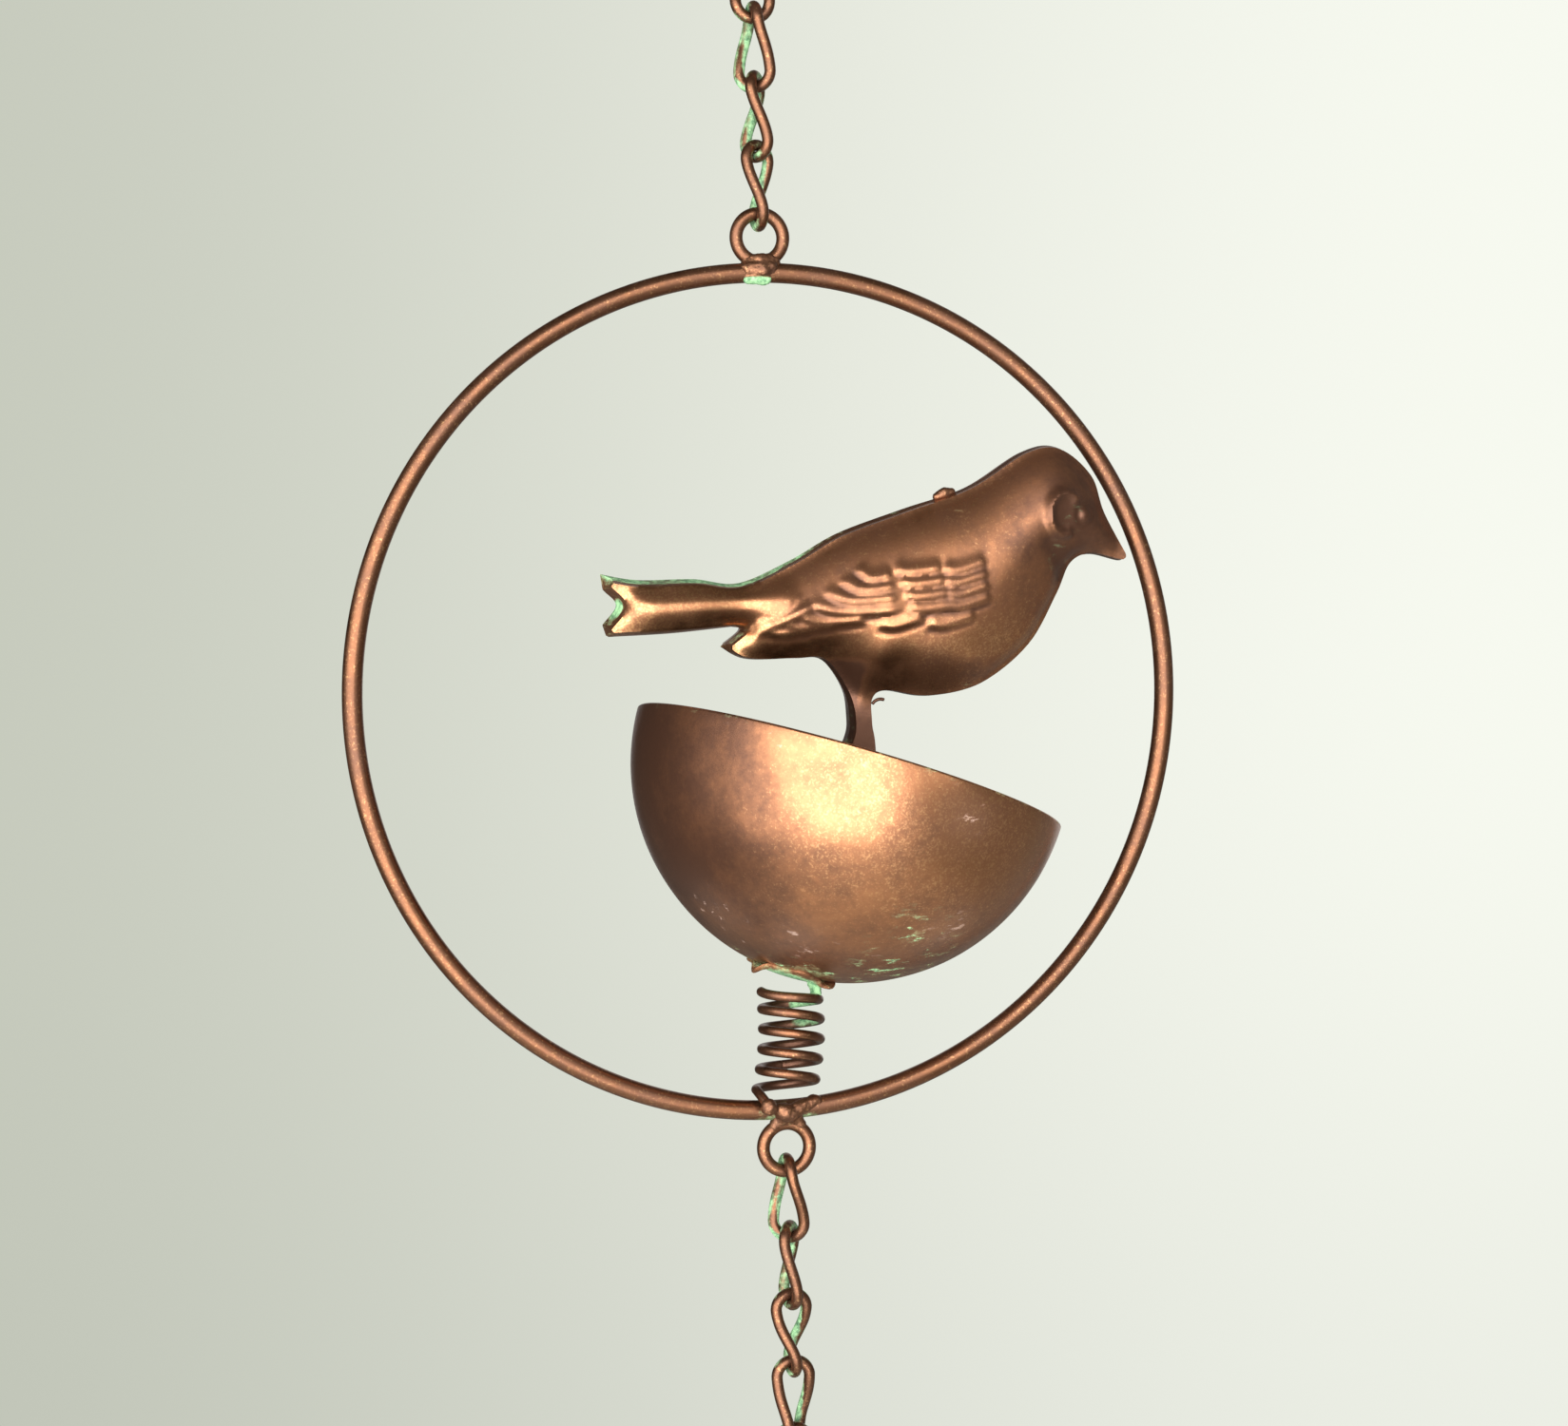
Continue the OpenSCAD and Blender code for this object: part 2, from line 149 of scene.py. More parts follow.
class Shader:
    """A node tree being built, one node at a time."""

    def __init__(self, tree: bpy.types.NodeTree) -> None:
        """Starts from an empty tree."""
        self.tree = tree
        tree.nodes.clear()

    def node(self, kind: str, settings: dict, inputs: dict, output: object = 0) -> Term:
        """Adds a node.

        Args:
            kind: The node's type.
            settings: The node's own settings, set first. "stops" fills a colour ramp.
            inputs: Values or Terms by socket name or index.
            output: Name or index of the output that the Term wraps.

        Returns:
            The chosen output.
        """
        made = self.tree.nodes.new(kind)
        for name, value in settings.items():
            if name == "stops":
                self._fill_ramp(made.color_ramp, value)
            else:
                setattr(made, name, value)
        for name, value in inputs.items():
            socket = made.inputs[name]
            if isinstance(value, Term):
                self.tree.links.new(value.socket, socket)
            else:
                socket.default_value = value
        return None if output is None else Term(self, made.outputs[output])

    @staticmethod
    def _fill_ramp(ramp: bpy.types.ColorRamp, stops: Sequence[tuple]) -> None:
        """Gives a colour ramp its stops, each one a place and a colour."""
        while len(ramp.elements) < len(stops):
            ramp.elements.new(1.0)
        for element, (place, colour) in zip(ramp.elements, stops):
            element.position = place
            element.color = (*colour, 1.0)

    def object_place(self) -> Term:
        """Object coordinates, which are the frame's own."""
        return self.node("ShaderNodeTexCoord", {}, {}, "Object")

    def attribute(self, name: str) -> Term:
        """A number stored on the mesh's points."""
        settings = {"attribute_name": name, "attribute_type": "GEOMETRY"}
        return self.node("ShaderNodeAttribute", settings, {}, "Fac")

    def noise(self, place: Term, scale: float, detail: float, rough: float = 0.5) -> Term:
        """Soft noise from 0 to 1, with scale in cells a metre."""
        inputs = {"Vector": place, "Scale": scale, "Detail": detail, "Roughness": rough}
        return self.node("ShaderNodeTexNoise", {}, inputs, "Fac")

    def stretched(self, place: Term, turn: Sequence[float], scale: Sequence[float]) -> Term:
        """Coordinates turned and stretched, for marks that run one way."""
        inputs = {"Vector": place, "Rotation": turn, "Scale": scale}
        return self.node("ShaderNodeMapping", {}, inputs)

    def blend(self, share: object, low: object, high: object) -> Term:
        """Colour at a share of the way from low to high."""
        settings = {"data_type": "RGBA"}
        return self.node("ShaderNodeMix", settings, {0: share, 6: low, 7: high}, 2)


def rgb(red: float, green: float, blue: float) -> tuple[float, float, float, float]:
    """An opaque colour in linear light."""
    return (red, green, blue, 1.0)


# ---------------------------------------------------------------- finishes


@dataclass(frozen=True)
class AgedCopper:
    """Aged copper, with dirt and painted shade in the hollows and verdigris where wet.

    The mesh may carry three numbers a point: "patina", 1 where verdigris sits, "shade", 1
    where dirt and painted shade darken the copper and -1 where a painted highlight lightens
    it, and "scuff", 1 where it is scraped pale.
    """

    name: str
    dark: tuple = rgb(0.095, 0.042, 0.024)
    copper: tuple = rgb(0.38, 0.165, 0.078)
    # Colour of the painted highlight flecks (glint).
    bright: tuple = rgb(0.72, 0.41, 0.19)
    roughness: float = 0.25
    mottle: float = 95.0
    grain: float = 2600.0
    smudges: float = 0.0
    streaks: float = 0.0
    green_light: tuple = rgb(0.27, 0.48, 0.24)
    green_dark: tuple = rgb(0.06, 0.15, 0.07)
    relief: float = 0.00008

    def build(self) -> bpy.types.Material:
        """Makes the material.

        Returns:
            The finished material.
        """
        material = bpy.data.materials.new(self.name)
        material.use_nodes = True
        sh = Shader(material.node_tree)
        place = sh.object_place()
        patches = sh.noise(place, self.mottle, 6.0, 0.62)
        clouds = sh.noise(place, self.mottle * 0.28, 3.0)
        grain = sh.noise(place, self.grain, 2.0, 0.6)
        coarse = sh.noise(place, self.grain * 0.3, 3.0, 0.7)
        shade = sh.attribute(SHADE)

        # Random wear tone from dark to copper, pushed dark by the dirt and painted shade stored in
        # "shade", and lighter where it holds a painted highlight.
        wear_and_shade = (patches * 0.75 + clouds * 0.45 + coarse * 0.25 - shade * 0.55).ramp(0.42, 1.02)
        colour = sh.blend(wear_and_shade, self.dark, self.copper)
        # Painted highlight: fine glint flecks of light copper mixed into the colour, more where
        # "shade" is negative.
        glint = (grain * 0.8 + coarse * 0.4 - shade * 0.45).ramp(0.62, 0.98)
        colour = sh.blend(glint * 0.55, colour, self.bright)
        roughness = self.roughness + (1.0 - grain) * 0.10 + (1.0 - wear_and_shade) * 0.08
        metallic = 1.0 - (1.0 - wear_and_shade) * 0.25

        if self.smudges:
            colour, roughness, metallic = self._smudge(sh, place, colour, roughness, metallic)
        green = self._patina_mask(sh, place, patches, coarse)
        tone = sh.noise(place, 900.0, 4.0, 0.65).ramp(0.34, 0.62)
        verdigris = sh.blend(tone, self.green_dark, self.green_light)
        colour = sh.blend(green, colour, verdigris)
        roughness = roughness + green * 0.38
        metallic = (metallic * (1.0 - green * 0.96)).limited()

        height = patches * 0.35 + grain * 0.30 + coarse * 0.35 + green * (0.5 + coarse)
        bump = sh.node(
            "ShaderNodeBump", {}, {"Strength": 0.5, "Distance": self.relief, "Height": height}
        )
        surface = {
            "Base Color": colour,
            "Metallic": metallic,
            "Roughness": roughness.limited(),
            "Normal": bump,
        }
        shader = sh.node("ShaderNodeBsdfPrincipled", {}, surface)
        sh.node("ShaderNodeOutputMaterial", {}, {"Surface": shader}, None)
        return material

    def _smudge(
        self, sh: Shader, place: Term, colour: Term, roughness: Term, metallic: Term
    ) -> tuple[Term, Term, Term]:
        """Adds pale rubbed smudges and thin scratches.

        Args:
            sh: The shader being built.
            place: Object coordinates.
            colour: Colour so far.
            roughness: Roughness so far.
            metallic: Metallic so far.

        Returns:
            Colour, roughness and metallic with the marks added.
        """
        along = sh.stretched(place, (0.3, 0.2, 0.5), (0.25, 1.0, 1.0))
        scuff = sh.attribute(SCUFF)
        scratch = (sh.noise(along, 520.0, 5.0, 0.75) + scuff * 0.10).ramp(0.65, 0.74)
        patch = (sh.noise(place, 55.0, 3.0, 0.6).ramp(0.52, 0.66) + scuff).limited()
        mark = (scratch * patch * self.smudges * 0.6 + scuff * 0.10).limited()
        pale = rgb(0.48, 0.34, 0.28)
        return (
            sh.blend(mark, colour, pale),
            roughness + mark * 0.22,
            metallic * (1.0 - mark * 0.75),
        )

    def _patina_mask(self, sh: Shader, place: Term, patches: Term, coarse: Term) -> Term:
        """Breaks the stored patina up into ragged patches and drips.

        Args:
            sh: The shader being built.
            place: Object coordinates.
            patches: Middling noise.
            coarse: Fine noise.

        Returns:
            How much of each place is green.
        """
        stored = sh.attribute(PATINA)
        ragged = patches * 0.55 + coarse * 0.35
        green = (stored + ragged - 0.45).ramp(0.48, 0.72)
        if self.streaks:
            drips = sh.stretched(place, (0.0, 0.0, 0.0), (1.0, 1.0, 3.2))
            drip = sh.noise(drips, 260.0, 5.0, 0.7).ramp(0.56, 0.66)
            green = (green + drip * stored.ramp(0.02, 0.5) * self.streaks).limited()
        return green


class Finish(Enum):
    """The finishes on the object, one for each kind of piece."""

    WIRE = AgedCopper(
        "aged_copper_wire", copper=rgb(0.17, 0.073, 0.036), grain=2300.0, mottle=160.0,
        relief=0.00005, roughness=0.24,
    )
    LINK = AgedCopper(
        "aged_copper_chain", copper=rgb(0.155, 0.068, 0.035), grain=2600.0, mottle=260.0,
        relief=0.00006, roughness=0.24,
    )
    COIL = AgedCopper(
        "aged_copper_spring", copper=rgb(0.155, 0.068, 0.035), grain=2600.0, mottle=260.0,
        relief=0.00006, roughness=0.24,
    )
    CUP = AgedCopper("aged_copper_cup", smudges=1.0, streaks=1.0, roughness=0.23)
    BIRD = AgedCopper("aged_copper_bird", mottle=120.0, roughness=0.25, streaks=0.5)
    WELD = AgedCopper(
        "weld_bead", copper=rgb(0.22, 0.10, 0.052), mottle=420.0, relief=0.0003, roughness=0.32
    )
    PLATE = AgedCopper("verdigris_plate", mottle=300.0, relief=0.0003, roughness=0.45)


class Paint:
    """Builds each finish once and hands it out."""

    def __init__(self) -> None:
        """Starts with nothing built."""
        self.made: dict[Finish, bpy.types.Material] = {}

    def get(self, finish: Finish) -> bpy.types.Material:
        """The material of a finish."""
        if finish not in self.made:
            self.made[finish] = finish.value.build()
        return self.made[finish]


# ---------------------------------------------------------------- mesh tools


@dataclass(frozen=True)
class Place:
    """Where a finished piece belongs: its body, the nodes it stands for and its slot."""

    body: str
    nodes: tuple
    slot: str


Rule = Callable[[np.ndarray, np.ndarray], np.ndarray]


class Workshop:
    """Turns bmeshes into finished pieces on the frame."""

    def __init__(self) -> None:
        """Starts with no pieces made."""
        self.paint = Paint()
        self.made: list[bpy.types.Object] = []

    def publish(
        self,
        bm: bmesh.types.BMesh,
        name: str,
        finish: Finish,
        place: Place,
        patina: Rule | None = None,
        shade: Rule | None = None,
        scuff: Rule | None = None,
        ride: bool = True,
    ) -> bpy.types.Object:
        """Makes a piece from a bmesh and puts it on its body.

        Args:
            bm: The mesh, in metres and in place. It is freed.
            name: The piece's name.
            finish: Its finish.
            place: Its body, nodes and slot.
            patina: Gives each point's verdigris from its place and normal, in millimetres.
            shade: Gives each point's dirt and painted shade, negative for a painted highlight, in
                the same way.
            scuff: Gives where a point is scuffed pale in the same way.
            ride: Whether the piece rides on its body. The spring's stretches don't.

        Returns:
            The new object.
        """
        bmesh.ops.recalc_face_normals(bm, faces=bm.faces[:])
        for edge in bm.edges:
            edge.smooth = edge.calc_face_angle(0.0) < CREASE
        mesh = bpy.data.meshes.new(name)
        bm.to_mesh(mesh)
        bm.free()
        for polygon in mesh.polygons:
            polygon.use_smooth = True
        self._store(mesh, PATINA, patina)
        self._store(mesh, SHADE, shade)
        self._store(mesh, SCUFF, scuff)
        piece = add_object(name, mesh)
        mesh.materials.append(self.paint.get(finish))
        if ride:
            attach(piece, place.body)
        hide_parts(*place.nodes)
        self.made.append(piece)
        LOG.info("%s: %d faces on %s", name, len(mesh.polygons), place.body)
        return piece

    @staticmethod
    def _store(mesh: bpy.types.Mesh, name: str, rule: Rule | None) -> None:
        """Writes a rule's numbers to the mesh's points."""
        if rule is None:
            return
        count = len(mesh.vertices)
        places = np.empty(count * 3, np.float32)
        mesh.vertices.foreach_get("co", places)
        normals = np.empty(count * 3, np.float32)
        mesh.vertex_normals.foreach_get("vector", normals)
        values = rule(places.reshape(-1, 3) / MM, normals.reshape(-1, 3))
        stored = mesh.attributes.new(name, "FLOAT", "POINT")
        stored.data.foreach_set("value", values.astype(np.float32))


def ring_matrix(point: Vector, tangent: Vector, reference: Vector, radius: float) -> Matrix:
    """Matrix that puts a unit circle square across a wire.

    Args:
        point: Middle of the wire.
        tangent: Direction of the wire.
        reference: Direction that the circle's first point leans to.
        radius: Radius of the wire.

    Returns:
        The circle's place.
    """
    along = tangent.normalized()
    side = (reference - reference.dot(along) * along).normalized()
    up = along.cross(side)
    matrix = Matrix((side * radius, up * radius, along * radius)).transposed().to_4x4()
    matrix.translation = point
    return matrix


def edges_of(verts: Sequence[bmesh.types.BMVert]) -> list[bmesh.types.BMEdge]:
    """Every edge that these points touch."""
    return list({edge for vert in verts for edge in vert.link_edges})


def grow_ring(
    bm: bmesh.types.BMesh, ring: list[bmesh.types.BMEdge]
) -> tuple[list[bmesh.types.BMVert], list[bmesh.types.BMEdge]]:
    """Extrudes a ring of open edges where it lies.

    Args:
        bm: The mesh.
        ring: The edges.

    Returns:
        The new points, and the new ring.
    """
    grown = bmesh.ops.extrude_edge_only(bm, edges=ring)["geom"]
    verts = [item for item in grown if isinstance(item, bmesh.types.BMVert)]
    fresh = set(verts)
    edges = [item for item in grown if isinstance(item, bmesh.types.BMEdge)]
    return verts, [edge for edge in edges if set(edge.verts) <= fresh]


def relax(
    bm: bmesh.types.BMesh, verts: Sequence[bmesh.types.BMVert], passes: int, sideways: bool = True
) -> None:
    """Draws points towards their neighbours.

    Args:
        bm: The mesh.
        verts: The points that move.
        passes: How many times they do.
        sideways: Whether they move along X and Y too, or along Z alone.
    """
    for _ in range(passes):
        bmesh.ops.smooth_vert(
            bm,
            verts=verts,
            factor=0.5,
            use_axis_x=sideways,
            use_axis_y=sideways,
            use_axis_z=True,
        )


def sweep(
    bm: bmesh.types.BMesh,
    points: Sequence[Vector],
    references: Sequence[Vector],
    radius: float,
    sides: int = 18,
    chamfer: float = 0.12,
) -> None:
    """Runs a round wire with square-cut, slightly broken ends along points.

    Args:
        bm: Mesh that takes the wire.
        points: Middle of the wire, in metres.
        references: One direction a point, that the rings are turned from.
        radius: Radius of the wire, in metres.
        sides: Sides of the wire.
        chamfer: Chamfer at the cut ends, as a share of the radius.
    """
    last = len(points) - 1
    places = []
    for index, point in enumerate(points):
        tangent = points[min(index + 1, last)] - points[max(index - 1, 0)]
        places.append(ring_matrix(point, tangent, references[index], radius))
    first = bmesh.ops.create_circle(bm, segments=sides, radius=1.0, matrix=places[0])
    ring = edges_of(first["verts"])
    start = ring
    for before, after in zip(places, places[1:]):
        verts, ring = grow_ring(bm, ring)
        bmesh.ops.transform(bm, matrix=after @ before.inverted(), verts=verts)
    for end in (start, ring):
        bmesh.ops.contextual_create(bm, geom=end)
        bmesh.ops.bevel(
            bm,
            geom=end,
            offset=radius * chamfer,
            offset_type="OFFSET",
            affect="EDGES",
            segments=2,
            profile=0.5,
            material=-1,
        )


def torus(
    bm: bmesh.types.BMesh, centre: Vector, ring_r: float, wire_r: float, steps: int, sides: int
) -> None:
    """Adds a closed wire ring that lies in the XZ plane.

    Args:
        bm: Mesh that takes the ring.
        centre: Its middle, in metres.
        ring_r: Radius to the middle of the wire, in metres.
        wire_r: Radius of the wire, in metres.
        steps: Steps round the ring.
        sides: Sides of the wire.
    """
    spot = Matrix.Translation(centre + Vector((ring_r, 0.0, 0.0)))
    made = bmesh.ops.create_circle(bm, segments=sides, radius=wire_r, matrix=spot)
    verts = made["verts"]
    bmesh.ops.spin(
        bm,
        geom=verts + edges_of(verts),
        cent=centre,
        axis=(0.0, 1.0, 0.0),
        angle=FULL_TURN,
        steps=steps,
        use_merge=True,
        use_duplicate=False,
    )


# ---------------------------------------------------------------- hook, chain, hoop


@dataclass
class Hook:
    """S-hook that the ornament hangs from."""

    wire: float = 2.5
    bend_r: float = 5.25
    height: float = 28.0
    mouth: float = 200.0
    bend_steps: int = 30
    shank_steps: int = 6

    def centreline(self) -> list[Vector]:
        """Middle of the wire from the upper tip to the lower tip, in millimetres."""
        gap = self.height - 2 * self.bend_r
        slope = math.asin(2 * self.bend_r / gap)
        top = Vector((0.0, 0.0, self.wire / 2 - self.bend_r))
        low = Vector((0.0, 0.0, self.wire / 2 + self.bend_r - self.height))
        upper, lower = [], []
        for index in range(self.bend_steps + 1):
            turn = mix(math.radians(self.mouth), -slope, index / self.bend_steps)
            upper.append(top + self.bend_r * Vector((math.cos(turn), 0, math.sin(turn))))
            turn = turn + math.pi
            lower.append(low + self.bend_r * Vector((math.cos(turn), 0, math.sin(turn))))
        shares = [step / self.shank_steps for step in range(1, self.shank_steps)]
        shank = [upper[-1].lerp(lower[-1], share) for share in shares]
        return upper + shank + lower[::-1]

    def build(self, shop: Workshop) -> None:
        """Makes the hook."""
        bm = bmesh.new()
        points = [point * MM for point in self.centreline()]
        side = [Vector((0.0, 1.0, 0.0))] * len(points)
        sweep(bm, points, side, self.wire / 2 * MM, 20, 0.35)
        place = Place("hook", ("top_hook",), "copper_wire")
        shop.publish(bm, "hook", Finish.WIRE, place, self.patina)

    def patina(self, places: np.ndarray, normals: np.ndarray) -> np.ndarray:
        """Green on the hook's lower bend and its back."""
        low = smooth_ramp(-14.0, -27.0, places[:, 2])
        return 0.30 * low + 0.25 * smooth_ramp(0.0, 1.0, normals[:, 1])


@dataclass
class Link:
    """One twisted wire link. The wire's ends butt together under its lower bend."""

    number: int
    top_turn: float
    low_turn: float
    wire: float = 2.0
    length: float = 16.0
    width: float = 8.0
    butt_gap: float = 0.14
    steps: int = 72

    @property
    def node(self) -> str:
        """Name of the link's node."""
        return f"chain_link_{self.number}"

    def oval(self, share: float) -> tuple[float, float]:
        """Point of the flat oval, from the middle of the lower bend round to it again."""
        radius = (self.width - self.wire) / 2
        leg = self.length - self.wire - 2 * radius
        arc = math.pi * radius
        ends = (arc / 2, arc / 2 + leg, 1.5 * arc + leg, 1.5 * arc + 2 * leg)
        run = share * (2 * arc + 2 * leg)
        if run < ends[0] or run > ends[3]:
            turn = -math.pi / 2 + (run if run < ends[0] else run - 2 * arc - 2 * leg) / radius
            return radius * math.cos(turn), radius * math.sin(turn) - leg / 2
        if run < ends[1]:
            return radius, run - ends[0] - leg / 2
        if run < ends[2]:
            turn = (run - ends[1]) / radius
            return radius * math.cos(turn), radius * math.sin(turn) + leg / 2
        return -radius, leg / 2 - (run - ends[2])

    def build(self, shop: Workshop) -> None:
        """Makes the link."""
        low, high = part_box(self.node)
        middle = (low.z + high.z) / 2
        drop = self.length - self.wire
        radius = (self.width - self.wire) / 2
        rim = 2 * (math.pi * radius + drop - 2 * radius)
        spare = self.butt_gap / 2 / rim
        points, away = [], []
        for index in range(self.steps + 1):
            flat, rise = self.oval(mix(spare, 1 - spare, index / self.steps))
            down = smoothstep(0.0, 1.0, 0.5 - rise / (drop - radius))
            turn = math.radians(mix(self.top_turn, self.low_turn, down))
            spot = Vector((flat * math.cos(turn), flat * math.sin(turn), rise)) * MM
            away.append(spot.copy())
            points.append(spot + Vector((0.0, 0.0, middle)))
        bm = bmesh.new()
        sweep(bm, points, away, self.wire / 2 * MM, 16, 0.1)
        place = Place(f"link_{self.number}", (self.node,), "copper_wire")
        shop.publish(bm, f"link_{self.number}", Finish.LINK, place, self.patina_rule(middle / MM))

    def patina_rule(self, middle: float) -> Rule:
        """Green on the legs at the back, on inner sides and where links rub wet."""

        def rule(places: np.ndarray, normals: np.ndarray) -> np.ndarray:
            """Verdigris at each point."""
            back = smooth_ramp(-0.6, 1.6, places[:, 1])
            inward = -(places[:, 0] * normals[:, 0] + places[:, 1] * normals[:, 1])
            inner = smooth_ramp(0.6, 2.6, inward) * 0.35
            ends = smooth_ramp(4.6, 7.0, np.abs(places[:, 2] - middle)) * 0.45
            side = smooth_ramp(0.35, 0.95, np.abs(normals[:, 0])) * 0.20
            return 0.42 * back + inner + side + ends

        return rule


@dataclass
class Hoop:
    """Wire hoop with an eye welded on at its top and its bottom."""

    outer_r: float = 75.0
    wire: float = 3.5
    eye_r: float = 4.2
    eye_wire: float = 2.3
    green_angles: tuple = (-142.0, 118.0, 154.0, -60.0)

    def centre(self) -> Vector:
        """Middle of the hoop, in metres."""
        low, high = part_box("hoop")
        return (low + high) / 2

    def build(self, shop: Workshop) -> None:
        """Makes the hoop and its eyes."""
        centre = self.centre()
        bm = bmesh.new()
        torus(bm, centre, (self.outer_r - self.wire / 2) * MM, self.wire / 2 * MM, 256, 24)
        place = Place("ring", ("hoop",), "copper_wire")
        shop.publish(bm, "hoop_ring", Finish.WIRE, place, self.hoop_patina(centre / MM))
        for name in ("top_eye", "bottom_eye"):
            low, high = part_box(name)
            bm = bmesh.new()
            torus(bm, (low + high) / 2, self.eye_r * MM, self.eye_wire / 2 * MM, 72, 20)
            place = Place("ring", (name,), "copper_wire")
            shop.publish(bm, name + "_ring", Finish.WIRE, place, self.eye_patina)

    def hoop_patina(self, centre: Vector) -> Rule:
        """Green beside the welds and in a few wet spots."""

        def rule(places: np.ndarray, normals: np.ndarray) -> np.ndarray:
            """Verdigris at each point."""
            rel = places - np.array(centre)
            turn = np.degrees(np.arctan2(rel[:, 0], np.abs(rel[:, 2])))
            beside = smooth_ramp(7.5, 3.0, np.abs(turn)) * np.where(rel[:, 2] > 0, 0.45, 1.0)
            under = smooth_ramp(0.2, 0.9, -normals[:, 2])
            around = np.degrees(np.arctan2(rel[:, 0], rel[:, 2]))
            spots = np.zeros(len(places))
            for angle in self.green_angles:
                spots += 0.4 * smooth_ramp(1.6, 0.2, np.abs(around - angle))
            return 0.55 * beside + 0.14 * under + spots

        return rule

    @staticmethod
    def eye_patina(places: np.ndarray, normals: np.ndarray) -> np.ndarray:
        """Green on the inside and back of an eye."""
        return 0.30 + 0.25 * smooth_ramp(0.0, 1.0, normals[:, 1])


# ---------------------------------------------------------------- weld beads


@dataclass(frozen=True)
class Bead:
    """A run of weld: balls of x, y, z and radius, in millimetres, joined in order."""

    stops: tuple

    def balls(self) -> list[np.ndarray]:
        """The balls along the run, close enough together to read as one bead."""
        spots = [np.array(stop, float) for stop in self.stops]
        found = [spots[0]]
        for before, after in zip(spots, spots[1:]):
            steps = max(1, math.ceil(np.linalg.norm(after[:3] - before[:3]) / BEAD_STEP))
            found += [before + (after - before) * step / steps for step in range(1, steps + 1)]
        return found


def weld_mesh(
    beads: Sequence[Bead], origin: Vector, lump: float, voxel: float
) -> bmesh.types.BMesh:
    """Melts beads into one lumpy closed mesh.

    Args:
        beads: The beads, measured from the origin.
        origin: Their origin, in metres.
        lump: How far the surface wanders, in millimetres.
        voxel: Size of the mesh's cells, in millimetres.

    Returns:
        The mesh, in metres and in place.
    """
    rough = bmesh.new()
    for bead in beads:
        for x, y, z, radius in bead.balls():
            spot = Matrix.Translation(origin + Vector((x, y, z)) * MM)
            bmesh.ops.create_icosphere(rough, subdivisions=3, radius=radius * MM, matrix=spot)
    mesh = bpy.data.meshes.new("bead_start")
    rough.to_mesh(mesh)
    rough.free()
    holder = add_object("bead_start", mesh)
    remesh = holder.modifiers.new("melt", "REMESH")
    remesh.mode = "VOXEL"
    remesh.voxel_size = voxel * MM
    bpy.context.view_layer.update()
    melted = bpy.data.meshes.new_from_object(
        holder.evaluated_get(bpy.context.evaluated_depsgraph_get())
    )
    bpy.data.objects.remove(holder)
    bm = bmesh.new()
    bm.from_mesh(melted)
    bpy.data.meshes.remove(melted)
    bpy.data.meshes.remove(mesh)
    relax(bm, bm.verts[:], 3)
    bm.normal_update()
    for vert in bm.verts:
        wave = noise.noise(vert.co / MM * 0.9) + 0.5 * noise.noise(vert.co / MM * 2.3)
        vert.co += vert.normal * (wave * lump * MM)
    return bm


